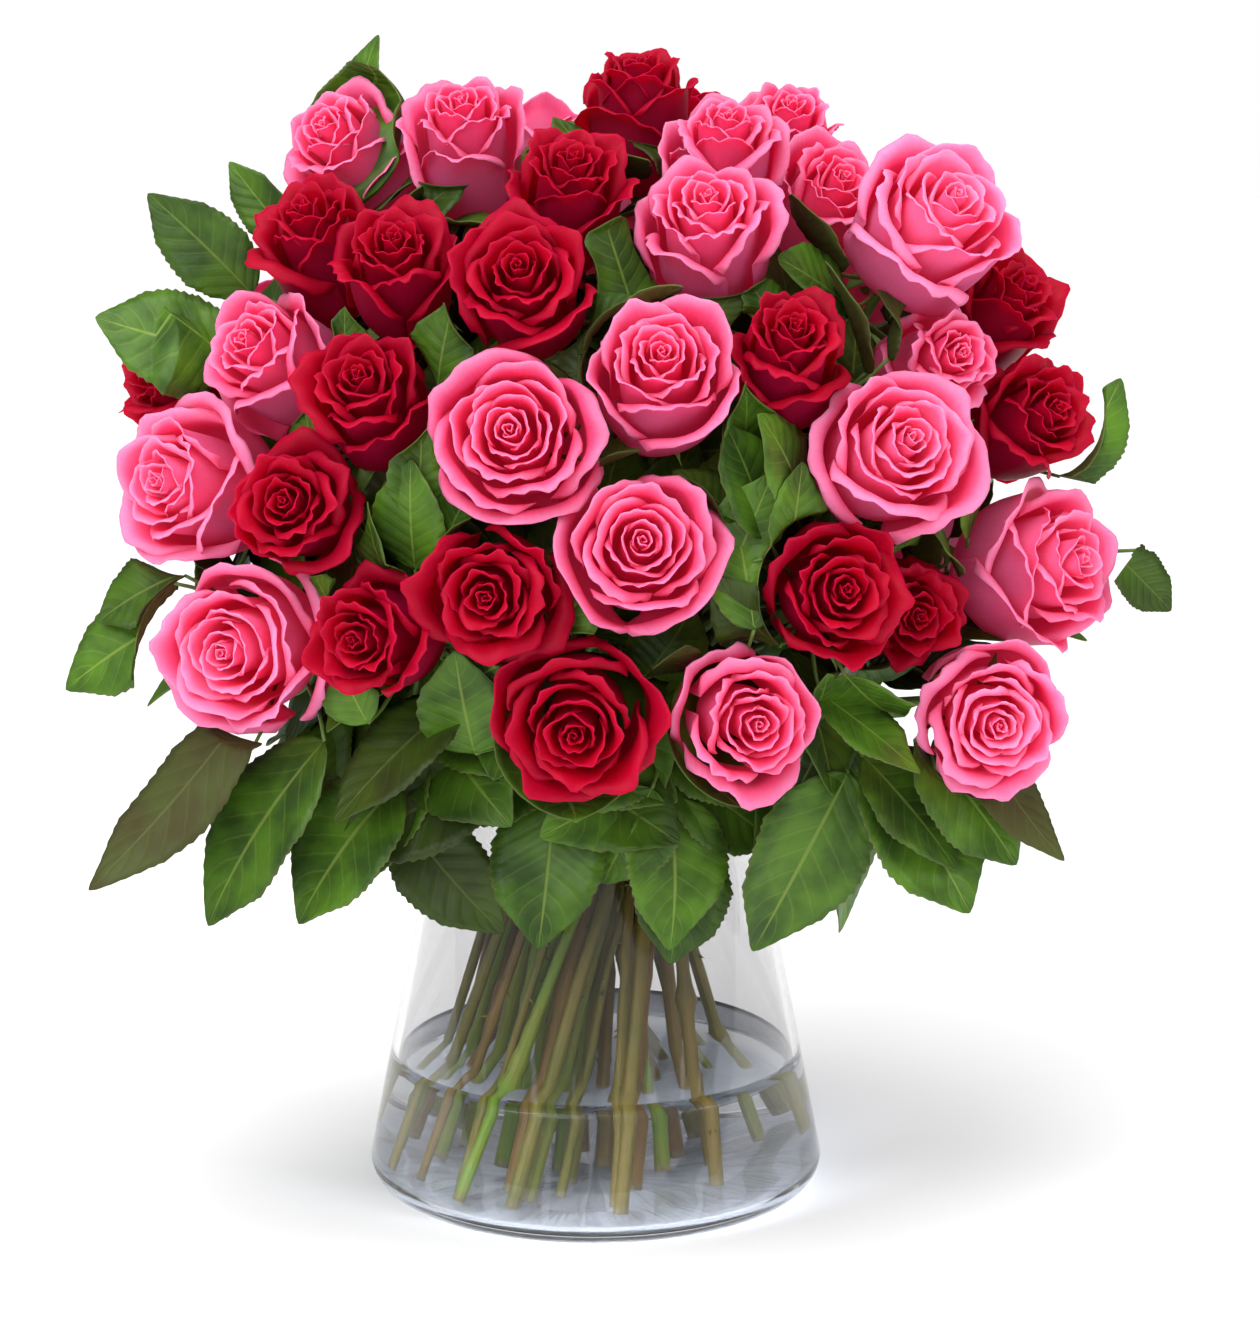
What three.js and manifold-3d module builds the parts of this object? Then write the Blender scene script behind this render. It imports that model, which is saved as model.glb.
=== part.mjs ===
// A hand-tied bunch of pink and red roses standing in a flared glass vase of water.
// Millimetres, +Z up, the front towards -Y, the origin at the centre of the vase's underside.
// Each rose is one grown piece: its cut end stands on the vase floor, its stem leans through the
// tie in a spiral, and its bloom faces out of a rounded dome. Compound leaves fill the gaps and
// hang in a collar over the rim.
import * as THREE from "three";
import { mergeVertices } from "three/addons/utils/BufferGeometryUtils.js";
import Module from "manifold-3d";

// ---- driving dimensions ----
const GAP = 0.4; // left between pieces that touch
const SMALLEST_STEP = 0.1; // a cut's facets smaller than this are merged

const VASE_HEIGHT = 172;
const VASE_BASE_RADIUS = 92; // widest, at the top of the rounded lower corner
const VASE_RIM_RADIUS = 61;
const VASE_WALL = 3.5;
const VASE_FLOOR = 7;
const VASE_CORNER = 12; // outer radius of the lower corner
const VASE_SIDES = 36;
const WATER_LEVEL = 56;

const TIE_ABOVE_RIM = 20; // from the vase's rim to the middle of the raffia tie
const TIE_BAND = 14;
const TIE_THICKNESS = 2.4;
const TIE_PACKING = 0.575; // share of the tie's inside that the stems and their spacing take
const TIE_SIDES = 20;

const STEM_RADIUS = 3.2;
const STEM_SPACE = 1.2; // clear space kept between neighbouring stems
const STEM_SIDES = 5;
const LEG_STEPS = 4; // stretches from the cut end to the tie's lower edge
const NECK_STEPS = 4; // stretches from the tie's upper edge to the bloom
const NECK_LENGTH = 20; // straight stem behind each bloom
const FOOT_LIFT = 3; // height of a cut end's centre above the vase floor
const FOOT_INSET = 11; // from the vase's inner wall to the outermost cut ends
const SPIRAL_ABOVE = THREE.MathUtils.degToRad(62); // turn from bloom to tie
const SPIRAL_BELOW = THREE.MathUtils.degToRad(38); // turn from tie to cut end

const BLOOM_LENGTH = 56; // from the base of the calyx to the petal tips
const BLOOM_SPACE = 1.4; // clear space kept between neighbouring blooms
const EASE = 0.6; // share of each overlap that one round of settling takes away
const BLOOM_SIDES = 10;
const CALYX_RADIUS = 5.5;
// The bloom's outline as [share of its length, share of its half width].
const BLOOM_OUTLINE = [
  [0.2, 0.66],
  [0.48, 0.96],
  [0.84, 1.0],
  [1.0, 0.72],
];
const BLOOM_DIP = 0.93; // where the middle of the bloom's face lies, as a share of its length

const LEAF_LENGTH = 66;
const LEAF_WIDTH = 46;
const LEAF_THICKNESS = 1.2;
const LEAF_FOLD = 5; // how far a leaflet's edges rise above its midrib
const STALK_RADIUS = 1.5;
const STALK_SIDES = 4;

const PINK = 0xee4f86;
const RED = 0xb0082f;
const LEAF_GREEN = 0x3d6a2c;
const RAFFIA = 0xb79a62;
const GLASS = 0xdfe8ec;
const WATER = 0xc9d6e6;

// ---- the arrangement ----
// Each rose: [where the middle of its face is, measured from the middle of the tie, the way it
// turns from facing the front (degrees, positive to +X), the way it tilts up from level
// (degrees), its width].
const PINK_ROSES = [
  [[-106, -14, 226], -45, 40, 52],
  [[-60, -22, 254], -12, 62, 48],
  [[43, -78, 226], -5, 50, 53],
  [[60, -28, 246], 5, 66, 48],
  [[80, 24, 236], 15, 64, 44],
  [[104, -8, 222], 32, 44, 48],
  [[132, -46, 216], 30, 40, 66],
  [[-131, -66, 178], -40, 32, 52],
  [[-170, -68, 113], -40, 15, 64],
  [[-139, -105, 60], -20, 6, 72],
  [[-28, -136, 146], -5, 20, 64],
  [[24, -124, 172], 0, 36, 56],
  [[122, -101, 142], 20, 26, 64],
  [[16, -147, 106], 4, 20, 62],
  [[62, -142, 33], 14, 6, 56],
  [[190, -52, 82], 48, 14, 66],
  [[147, -98, 32], 6, 5, 61],
  [[132, -60, 170], 28, 20, 42],
];
const RED_ROSES = [
  [[18, 10, 266], 0, 78, 46],
  [[-8, -66, 238], 10, 55, 44],
  [[-112, -42, 217], -32, 56, 46],
  [[-75, -83, 210], -4, 46, 46],
  [[-34, -110, 197], -5, 34, 56],
  [[-176, -30, 143], -58, 24, 42],
  [[-92, -112, 157], -14, 38, 48],
  [[-115, -114, 117], -12, 20, 50],
  [[-92, -132, 64], -24, 8, 48],
  [[-44, -146, 86], -8, 6, 53],
  [[-8, -148, 30], -4, -2, 64],
  [[78, -106, 178], 8, 46, 44],
  [[98, -128, 82], 12, 15, 54],
  [[174, -10, 166], 48, 42, 46],
  [[182, -40, 138], 36, 24, 48],
  [[130, -88, 52], 12, 4, 42],
];
// The back of the dome, which is shallower than the front.
const PINK_BACK_ROSES = [
  [[-20, 70, 236], 178, 52, 54],
  [[112, 56, 203], 140, 40, 56],
  [[10, 110, 200], 176, 38, 58],
  [[-146, 42, 154], -122, 24, 56],
  [[78, 118, 140], 156, 22, 58],
  [[-60, 124, 90], -165, 12, 60],
  [[160, 50, 70], 112, 8, 54],
];
const RED_BACK_ROSES = [
  [[-96, 52, 220], -142, 46, 50],
  [[44, 72, 242], 164, 58, 48],
  [[-66, 108, 164], -158, 30, 52],
  [[168, 46, 126], 110, 22, 50],
  [[-134, 82, 98], -130, 10, 52],
];

// Each compound leaf: [the rose whose stem it grows on, how far up the neck it leaves (0 at the
// tie, 1 at the bloom), the way it heads (degrees round from the front, positive to +X), the
// angle it rises at, how far its tip has dropped, how far past the vase's rim its stalk reaches,
// the size of its leaflets].
const LEAVES = [
  ["red_rose_11", 0.5, -14, -10, 26, 18, 1.0],
  ["pink_rose_15", 0.45, 24, -8, 26, 22, 0.95],
  ["pink_rose_17", 0.5, 58, -4, 22, 40, 1.1],
  ["red_rose_09", 0.5, -42, -6, 22, 34, 1.1],
  ["pink_rose_10", 0.5, -74, -8, 34, 62, 1.1],
  ["pink_rose_09", 0.5, -84, 2, 14, 74, 0.9],
  ["red_rose_06", 0.5, -102, 46, -6, 104, 1.05],
  ["pink_rose_16", 0.5, 92, 16, 8, 86, 0.9],
  ["pink_rose_25", 0.45, 132, -8, 32, 40, 1.0],
  ["pink_rose_24", 0.4, 176, -8, 32, 30, 1.0],
  ["red_rose_21", 0.45, -128, -8, 32, 40, 1.0],
];

// ---- small helpers ----
const UP = new THREE.Vector3(0, 0, 1);
const LEVEL = new THREE.Vector3(1, 0, 0);
const STEEP = 0.9; // rise of a direction past which UP is no guide to what lies across it
const wasm = await Module();
wasm.setup();

const polar = (radius, angle, z) =>
  new THREE.Vector3(radius * Math.cos(angle), radius * Math.sin(angle), z);

// The direction that turns from the front towards +X and tilts up from level.
function heading(turn, tilt) {
  const t = THREE.MathUtils.degToRad(turn);
  const e = THREE.MathUtils.degToRad(tilt);
  return new THREE.Vector3(
    Math.sin(t) * Math.cos(e),
    -Math.cos(t) * Math.cos(e),
    Math.sin(e),
  );
}

// A closed mesh as a solid that can be cut and joined.
function solidOf(geometry) {
  const bare = geometry.index ? geometry.toNonIndexed() : geometry.clone();
  bare.deleteAttribute("normal");
  bare.deleteAttribute("uv");
  const merged = mergeVertices(bare, 1e-4);
  return new wasm.Manifold(
    new wasm.Mesh({
      numProp: 3,
      vertProperties: merged.attributes.position.array,
      triVerts: new Uint32Array(merged.index.array),
    }),
  );
}

function geometryOf(solid) {
  const mesh = solid.getMesh();
  const points = new Float32Array(mesh.numVert * 3);
  for (let i = 0; i < mesh.numVert; i++)
    points.set(
      mesh.vertProperties.subarray(i * mesh.numProp, i * mesh.numProp + 3),
      i * 3,
    );
  return new THREE.BufferGeometry()
    .setAttribute("position", new THREE.BufferAttribute(points, 3))
    .setIndex(new THREE.BufferAttribute(mesh.triVerts, 1));
}

// The biggest of the separate bodies that a cut leaves.
const biggest = (solid) =>
  solid.decompose().sort((a, b) => b.volume() - a.volume())[0];

// A closed skin over a row of rings. Each ring is {centre, across, along, sides, radius}; the
// first and the last ring close on a middle point of their own.
function skin(rings, firstPoint, lastPoint) {
  const points = [firstPoint.clone()];
  const starts = rings.map((ring) => {
    const start = points.length;
    for (let k = 0; k < ring.sides; k++) {
      const angle = (2 * Math.PI * k) / ring.sides;
      points.push(
        ring.centre
          .clone()
          .addScaledVector(ring.across, ring.radius * Math.cos(angle))
          .addScaledVector(ring.along, ring.radius * Math.sin(angle)),
      );
    }
    return start;
  });
  points.push(lastPoint.clone());
  const faces = [];
  const at = (i, k) => starts[i] + (k % rings[i].sides);
  for (let k = 0; k < rings[0].sides; k++) faces.push(0, at(0, k + 1), at(0, k));
  for (let i = 0; i + 1 < rings.length; i++) {
    const finer = rings[i + 1].sides / rings[i].sides; // 1, or 2 where the sides double
    for (let k = 0; k < rings[i].sides; k++) {
      const a = at(i, k);
      const b = at(i, k + 1);
      for (let m = 0; m < finer; m++)
        faces.push(a, at(i + 1, k * finer + m + 1), at(i + 1, k * finer + m));
      faces.push(a, b, at(i + 1, (k + 1) * finer));
    }
  }
  const last = rings.length - 1;
  for (let k = 0; k < rings[last].sides; k++)
    faces.push(at(last, k), at(last, k + 1), points.length - 1);
  return new THREE.BufferGeometry()
    .setFromPoints(points)
    .setIndex(faces);
}

// Rings along a line of points, each turned as little as possible from the one before.
function ringsAlong(points, sides, radius) {
  let across = null;
  return points.map((centre, i) => {
    const before = points[Math.max(i - 1, 0)];
    const after = points[Math.min(i + 1, points.length - 1)];
    const way = after.clone().sub(before).normalize();
    const guide = across ?? (Math.abs(way.z) < STEEP ? UP : LEVEL);
    across = guide.clone().addScaledVector(way, -guide.dot(way)).normalize();
    const along = way.clone().cross(across);
    return { centre, across, along, sides, radius, way };
  });
}

// ---- the vase, its water and the tie ----
const wallSlope =
  (VASE_BASE_RADIUS - VASE_RIM_RADIUS) / (VASE_HEIGHT - VASE_CORNER);
const outerRadius = (z) => VASE_BASE_RADIUS - wallSlope * (z - VASE_CORNER);
const innerRadius = (z) => outerRadius(z) - VASE_WALL * Math.hypot(1, wallSlope);

// A quarter-round corner in the vase's section, from its lowest point out to its wall.
function corner(centreRadius, centreHeight, radius, steps) {
  return Array.from({ length: steps + 1 }, (_, i) => {
    const angle = (-Math.PI / 2) * (1 - i / steps);
    return new THREE.Vector2(
      centreRadius + radius * Math.cos(angle),
      centreHeight + radius * Math.sin(angle),
    );
  });
}

const innerCorner = VASE_CORNER - VASE_WALL;
const innerCornerHeight = VASE_FLOOR + innerCorner;
const tieHeight = VASE_HEIGHT + TIE_ABOVE_RIM; // the middle of the tie
const roseCount = [PINK_ROSES, RED_ROSES, PINK_BACK_ROSES, RED_BACK_ROSES].flat().length;
const tieRadius = (STEM_RADIUS + STEM_SPACE / 2) * Math.sqrt(roseCount / TIE_PACKING);

// The vase, `grow` thicker all round when it's used to cut a neighbour.
function makeVase(grow = 0) {
  const shoulder = VASE_HEIGHT - VASE_WALL / 2;
  const section = [
    new THREE.Vector2(0, -grow),
    ...corner(VASE_BASE_RADIUS - VASE_CORNER, VASE_CORNER, VASE_CORNER + grow, 4),
    new THREE.Vector2(VASE_RIM_RADIUS + grow, shoulder),
    new THREE.Vector2(VASE_RIM_RADIUS - VASE_WALL / 2, VASE_HEIGHT + grow),
    new THREE.Vector2(innerRadius(VASE_HEIGHT) - grow, shoulder),
    ...corner(
      innerRadius(innerCornerHeight) - innerCorner,
      innerCornerHeight,
      innerCorner - grow,
      3,
    ).reverse(),
    new THREE.Vector2(0, VASE_FLOOR + grow),
  ];
  return turnedUp(new THREE.LatheGeometry(section, VASE_SIDES));
}

// The water fills the vase to its level, leaves the wall and floor by the gap, and is cut by the
// stems that stand in it.
function makeWater(stems) {
  const section = [
    new THREE.Vector2(0, VASE_FLOOR + GAP),
    ...corner(
      innerRadius(innerCornerHeight) - innerCorner - GAP,
      innerCornerHeight + GAP,
      innerCorner,
      3,
    ),
    new THREE.Vector2(innerRadius(WATER_LEVEL) - GAP, WATER_LEVEL),
    new THREE.Vector2(0, WATER_LEVEL),
  ];
  let water = solidOf(turnedUp(new THREE.LatheGeometry(section, VASE_SIDES)));
  for (const stem of stems) water = water.subtract(stem);
  return geometryOf(biggest(water));
}

function makeTie(stems) {
  const low = tieHeight - TIE_BAND / 2;
  const high = tieHeight + TIE_BAND / 2;
  const outer = tieRadius + TIE_THICKNESS;
  const bevel = TIE_THICKNESS / 3;
  const section = [
    new THREE.Vector2(tieRadius, low),
    new THREE.Vector2(outer - bevel, low),
    new THREE.Vector2(outer, low + bevel),
    new THREE.Vector2(outer, high - bevel),
    new THREE.Vector2(outer - bevel, high),
    new THREE.Vector2(tieRadius, high),
    new THREE.Vector2(tieRadius, low),
  ];
  let tie = solidOf(turnedUp(new THREE.LatheGeometry(section, TIE_SIDES)));
  for (const stem of stems) tie = tie.subtract(stem);
  return geometryOf(biggest(tie));
}

// A lathe turns about Y, and the vase stands along Z.
const turnedUp = (geometry) => geometry.rotateX(Math.PI / 2);

// ---- roses ----
// A rose's bloom is a turned solid about its own axis: `face` is the middle of its face, `way`
// the direction it looks, and its length runs back from there to the calyx and the neck.
function plant(name, [[x, y, z], turn, tilt, width]) {
  const home = new THREE.Vector3(x, y, tieHeight + z);
  return {
    name,
    home,
    face: home.clone(),
    way: heading(turn, tilt),
    radius: width / 2,
    stem: [],
  };
}

const baseOf = (rose) => rose.face.clone().addScaledVector(rose.way, -BLOOM_LENGTH);

// The bloom's outline with its neck, in millimetres: [distance ahead of the calyx, radius].
function outlineOf(rose) {
  return [
    [-NECK_LENGTH, STEM_RADIUS],
    [-NECK_LENGTH / 2, STEM_RADIUS],
    [0, CALYX_RADIUS],
    ...BLOOM_OUTLINE.map(([s, r]) => [s * BLOOM_LENGTH, r * rose.radius]),
  ];
}

// The bloom's radius at a distance ahead of the calyx, or 0 beyond its ends.
function radiusAt(rose, s) {
  const outline = rose.outline;
  for (let i = 0; i + 1 < outline.length; i++) {
    const [a, ra] = outline[i];
    const [b, rb] = outline[i + 1];
    if (s >= a && s <= b) return ra + ((rb - ra) * (s - a)) / (b - a);
  }
  return 0;
}

// How a point has to move to leave a rose's bloom or neck with some space, or null.
function wayOut(rose, point, space) {
  const from = point.clone().sub(rose.face).addScaledVector(rose.way, BLOOM_LENGTH);
  const s = from.dot(rose.way);
  if (s < -NECK_LENGTH || s > BLOOM_LENGTH + space) return null;
  const side = from.addScaledVector(rose.way, -s);
  const r = side.length();
  const sideways = radiusAt(rose, Math.min(s, BLOOM_LENGTH)) + space - r;
  if (sideways <= 0) return null;
  const forwards = BLOOM_LENGTH + space - s;
  if (forwards < sideways) return rose.way.clone().multiplyScalar(forwards);
  return side.multiplyScalar(sideways / Math.max(r, 1e-6));
}

// Points all over a bloom's skin, measured from the middle of its face.
function skinPoints(rose) {
  const STEP = 7;
  const SIDES = 14;
  const [across, along] = crossAxes(rose.way);
  const points = [];
  for (let s = -NECK_LENGTH; s <= BLOOM_LENGTH; s += STEP)
    for (let k = 0; k < SIDES; k++) {
      const angle = (2 * Math.PI * k) / SIDES;
      const r = radiusAt(rose, s);
      points.push(
        rose.way
          .clone()
          .multiplyScalar(s - BLOOM_LENGTH)
          .addScaledVector(across, r * Math.cos(angle))
          .addScaledVector(along, r * Math.sin(angle)),
      );
    }
  return points;
}

function crossAxes(way) {
  const guide = Math.abs(way.z) < STEEP ? UP : LEVEL;
  const across = guide.clone().cross(way).normalize();
  return [across, way.clone().cross(across)];
}

// Neighbouring blooms push each other aside until none press, each drawn back to its place.
function settleBlooms(roses) {
  const ROUNDS = 320;
  const FREE_ROUNDS = 160; // the last ones, without the pull to each bloom's place
  const PULL = 0.02;
  for (const rose of roses) {
    rose.outline = outlineOf(rose);
    rose.points = skinPoints(rose);
  }
  const moved = new THREE.Vector3();
  const deepest = (a, b) => {
    let worst = null;
    for (const offset of b.points) {
      const out = wayOut(a, moved.copy(b.face).add(offset), BLOOM_SPACE);
      if (out && (!worst || out.lengthSq() > worst.lengthSq())) worst = out;
    }
    return worst;
  };
  for (let round = 0; round < ROUNDS; round++) {
    if (round < ROUNDS - FREE_ROUNDS)
      for (const rose of roses) rose.face.lerp(rose.home, PULL);
    roses.forEach((a, i) =>
      roses.slice(i + 1).forEach((b) => {
        const reach = BLOOM_LENGTH + NECK_LENGTH + a.radius + b.radius;
        if (a.face.distanceTo(b.face) > reach) return;
        const forwards = deepest(a, b);
        const backwards = deepest(b, a);
        const push = new THREE.Vector3();
        if (forwards) push.add(forwards);
        if (backwards) push.sub(backwards);
        if (forwards && backwards) push.multiplyScalar(0.5);
        b.face.addScaledVector(push, 0.5);
        a.face.addScaledVector(push, -0.5);
      }),
    );
  }
}

// The shares along two stretches where they come closest.
function closest(p, q, a, b) {
  const u = q.clone().sub(p);
  const v = b.clone().sub(a);
  const w = p.clone().sub(a);
  const uu = u.dot(u);
  const uv = u.dot(v);
  const vv = v.dot(v);
  const uw = u.dot(w);
  const vw = v.dot(w);
  const spread = uu * vv - uv * uv;
  const limit = (x) => Math.min(1, Math.max(0, x));
  let s = spread > 1e-9 ? limit((uv * vw - vv * uw) / spread) : 0.5;
  const t = limit((uv * s + vw) / vv);
  s = limit((uv * t - uw) / uu);
  return [s, t];
}

// A first run for each stem: straight from its cut end to the tie, then in a smooth bend to the
// neck. The blooms nearest the top of the dome take the middle of the tie and of the vase floor.
function runStems(roses) {
  const middle = new THREE.Vector3(0, 0, tieHeight);
  const footRadius = innerRadius(VASE_FLOOR + FOOT_LIFT) - FOOT_INSET;
  const lean = (rose) => rose.face.clone().sub(middle).angleTo(UP);
  const byLean = [...roses].sort((a, b) => lean(a) - lean(b));
  byLean.forEach((rose, rank) => {
    const share = Math.sqrt((rank + 0.5) / roses.length);
    const round = Math.atan2(rose.face.y, rose.face.x);
    const atTie = round - SPIRAL_ABOVE;
    const atFoot = atTie - SPIRAL_BELOW;
    const foot = polar(share * footRadius, atFoot, VASE_FLOOR + FOOT_LIFT);
    const inTie = polar(share * (tieRadius - STEM_RADIUS), atTie, tieHeight - TIE_BAND / 2);
    const waist = inTie.clone().setZ(tieHeight + TIE_BAND / 2);
    const base = baseOf(rose);
    const neck = base.clone().addScaledVector(rose.way, -NECK_LENGTH);
    const bend = neck.distanceTo(waist) / 3;
    const curve = new THREE.CubicBezierCurve3(
      waist,
      waist.clone().addScaledVector(UP, bend),
      neck.clone().addScaledVector(rose.way, -bend),
      neck,
    );
    rose.stem = [
      ...Array.from({ length: LEG_STEPS + 1 }, (_, i) => foot.clone().lerp(inTie, i / LEG_STEPS)),
      ...curve.getPoints(NECK_STEPS - 1),
      base,
    ];
  });
}

// Pushes the stretch from i to i + 1 of a stem, at a share along it. The bloom stays put.
function nudge(stem, i, share, push) {
  const ends = [
    [i, 1 - share],
    [i + 1, share],
  ];
  for (const [k, weight] of ends) {
    if (k === stem.length - 1) continue;
    stem[k].addScaledVector(push, weight);
  }
}

// Stems lie side by side: each round smooths them, parts those that touch, lifts them off the
// blooms, and keeps them in the tie and the vase.
function settleStems(roses) {
  const ROUNDS = 260;
  const FREE_ROUNDS = 110; // the last ones, without smoothing
  const SMOOTHING = 0.2;
  const space = 2 * STEM_RADIUS + STEM_SPACE;
  for (let round = 0; round < ROUNDS; round++) {
    if (round < ROUNDS - FREE_ROUNDS)
      for (const { stem } of roses)
        for (let k = 1; k < stem.length - 2; k++) {
          const even = stem[k - 1].clone().add(stem[k + 1]).multiplyScalar(0.5);
          stem[k].lerp(even, SMOOTHING);
        }
    roses.forEach((a, i) => {
      for (const b of roses.slice(i + 1)) partStems(a.stem, b.stem, space);
      for (const b of roses) if (a !== b) clearBloom(a.stem, b);
      holdStem(a.stem);
    });
  }
}

function partStems(a, b, space) {
  for (let i = 0; i + 1 < a.length; i++)
    for (let j = 0; j + 1 < b.length; j++) {
      const reach = a[i].distanceTo(a[i + 1]) + b[j].distanceTo(b[j + 1]) + space;
      if (a[i].distanceToSquared(b[j]) > reach * reach) continue;
      const [s, t] = closest(a[i], a[i + 1], b[j], b[j + 1]);
      const apart = a[i]
        .clone()
        .lerp(a[i + 1], s)
        .sub(b[j].clone().lerp(b[j + 1], t));
      const distance = apart.length();
      if (distance >= space) continue;
      if (distance < 1e-6) apart.set(1, 0, 0);
      apart.setLength((space - distance) * EASE);
      nudge(a, i, s, apart);
      nudge(b, j, t, apart.negate());
    }
}

function clearBloom(stem, rose) {
  const SAMPLES = 5;
  for (let i = LEG_STEPS + 1; i + 1 < stem.length; i++)
    for (let k = 0; k <= SAMPLES; k++) {
      const point = stem[i].clone().lerp(stem[i + 1], k / SAMPLES);
      const out = wayOut(rose, point, STEM_RADIUS + STEM_SPACE);
      if (out) nudge(stem, i, k / SAMPLES, out.multiplyScalar(EASE));
    }
}

// Keeps a stem's cut end on the floor, its leg inside the wall and its waist inside the tie.
function holdStem(stem) {
  const LEAN_ROOM = 2; // a leaning stem's level section is this much wider than a straight one's
  const CORNER_ROOM = innerCorner / 4; // how far the rounded corner stands in at a cut end
  stem[0].z = VASE_FLOOR + FOOT_LIFT;
  stem[LEG_STEPS].z = tieHeight - TIE_BAND / 2;
  stem[LEG_STEPS + 1].z = tieHeight + TIE_BAND / 2;
  for (let k = 0; k <= LEG_STEPS + 1; k++) {
    const wall =
      k >= LEG_STEPS
        ? tieRadius
        : innerRadius(stem[k].z) - (k === 0 ? CORNER_ROOM : 0);
    const most = wall - STEM_RADIUS * LEAN_ROOM - GAP;
    const r = Math.hypot(stem[k].x, stem[k].y);
    if (r <= most) continue;
    stem[k].x *= most / r;
    stem[k].y *= most / r;
  }
}

// A whole rose as one closed skin, `grow` thicker all round when it's used to cut a neighbour.
function makeRose(rose, grow = 0) {
  const stem = rose.stem.map((point) => point.clone());
  const start = stem[0].clone().sub(stem[1]).normalize();
  stem[0].addScaledVector(start, grow);
  const rings = ringsAlong(stem, STEM_SIDES, STEM_RADIUS + grow);
  const top = rings[rings.length - 1];
  top.radius = CALYX_RADIUS + grow;
  const way = rose.way;
  const across = top.across.clone().addScaledVector(way, -top.across.dot(way)).normalize();
  const along = way.clone().cross(across);
  for (const [s, r] of BLOOM_OUTLINE)
    rings.push({
      centre: top.centre.clone().addScaledVector(way, s * BLOOM_LENGTH + (s === 1 ? grow : 0)),
      across,
      along,
      sides: BLOOM_SIDES,
      radius: r * rose.radius + grow,
    });
  const dip = top.centre.clone().addScaledVector(way, BLOOM_DIP * BLOOM_LENGTH + grow);
  return skin(rings, stem[0], dip);
}

// ---- leaves ----
// A leaflet's blade: a folded plate with a pointed tip, in the frame of its midrib.
function makeLeaflet(root, way, face, size, grow) {
  // [share of the length, share of the half width]
  const OUTLINE = [
    [0.0, 0.12],
    [0.3, 0.94],
    [0.66, 0.84],
    [1.0, 0.06],
  ];
  const across = way.clone().cross(face).normalize();
  const up = across.clone().cross(way);
  const half = (LEAF_THICKNESS / 2) + grow;
  const points = [];
  for (const [s, w] of OUTLINE) {
    const end = s === 0 ? -grow : s === 1 ? grow : 0;
    const middle = root.clone().addScaledVector(way, s * LEAF_LENGTH * size + end);
    const wide = (w * LEAF_WIDTH * size) / 2 + grow;
    for (const side of [-1, 0, 1])
      for (const skinSide of [-1, 1])
        points.push(
          middle
            .clone()
            .addScaledVector(across, side * wide)
            .addScaledVector(up, Math.abs(side) * w * LEAF_FOLD * size + skinSide * half),
        );
  }
  const at = (i, side, skinSide) => i * 6 + (side + 1) * 2 + (skinSide > 0 ? 1 : 0);
  const faces = [];
  const quad = (a, b, c, d) => faces.push(a, b, c, a, c, d);
  const rows = OUTLINE.length - 1;
  for (let i = 0; i < rows; i++) {
    for (const side of [-1, 0]) {
      quad(at(i, side, 1), at(i, side + 1, 1), at(i + 1, side + 1, 1), at(i + 1, side, 1));
      quad(at(i, side, -1), at(i + 1, side, -1), at(i + 1, side + 1, -1), at(i, side + 1, -1));
    }
    quad(at(i, -1, -1), at(i, -1, 1), at(i + 1, -1, 1), at(i + 1, -1, -1));
    quad(at(i, 1, 1), at(i, 1, -1), at(i + 1, 1, -1), at(i + 1, 1, 1));
  }
  for (const side of [-1, 0]) {
    quad(at(0, side, 1), at(0, side, -1), at(0, side + 1, -1), at(0, side + 1, 1));
    quad(at(rows, side, 1), at(rows, side + 1, 1), at(rows, side + 1, -1), at(rows, side, -1));
  }
  return solidOf(new THREE.BufferGeometry().setFromPoints(points).setIndex(faces));
}

// A compound leaf: a stalk that leaves its rose's stem and droops, with a leaflet at its tip and
// a pair on each side.
function makeLeaf(roses, [host, share, turn, rise, drop, pastRim, leafSize], grow = 0) {
  const PAIRS = [
    [0.5, 0.86],
    [0.8, 0.94],
  ]; // [share along the stalk, size of its two leaflets]
  const PAIR_ANGLE = 62;
  const TIP = 0.98; // share along the stalk at which the end leaflet starts
  const DROOP_FROM = 0.55; // share of the stalk's length past which it bends down
  const { stem } = roses.find((rose) => rose.name === host);
  const neck = new THREE.CatmullRomCurve3(stem.slice(LEG_STEPS + 1, -1));
  const root = neck.getPoint(share);
  const out = heading(turn, rise);
  const length = VASE_RIM_RADIUS + pastRim - Math.hypot(root.x, root.y);
  const tip = root.clone().addScaledVector(out, length).addScaledVector(UP, -drop);
  const middle = root.clone().addScaledVector(out, length * DROOP_FROM);
  const stalk = new THREE.QuadraticBezierCurve3(root, middle, tip);
  const rings = ringsAlong(stalk.getPoints(4), STALK_SIDES, STALK_RADIUS + grow);
  let leaf = solidOf(skin(rings, rings[0].centre, rings[rings.length - 1].centre));
  const place = (s, angle, size) => {
    const way = stalk.getTangent(s);
    const across = way.clone().cross(UP).normalize();
    const face = across.clone().cross(way);
    const aim = way.applyAxisAngle(face, THREE.MathUtils.degToRad(angle));
    leaf = leaf.add(makeLeaflet(stalk.getPoint(s), aim, face, size * leafSize, grow));
  };
  place(TIP, 0, 1);
  for (const [s, size] of PAIRS) {
    place(s, PAIR_ANGLE, size);
    place(s, -PAIR_ANGLE, size);
  }
  return leaf;
}

// ---- assembly ----
const bunch = new THREE.Group();

function finish(colour, roughness, extra = {}) {
  return new THREE.MeshStandardMaterial({ color: colour, roughness, metalness: 0, ...extra });
}

function addPiece(name, geometry, material) {
  const mesh = new THREE.Mesh(geometry, material);
  mesh.name = name;
  bunch.add(mesh);
}

const numbered = (word, plans) =>
  plans.map((plan, i) => plant(`${word}_rose_${String(i + 1).padStart(2, "0")}`, plan));

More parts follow.
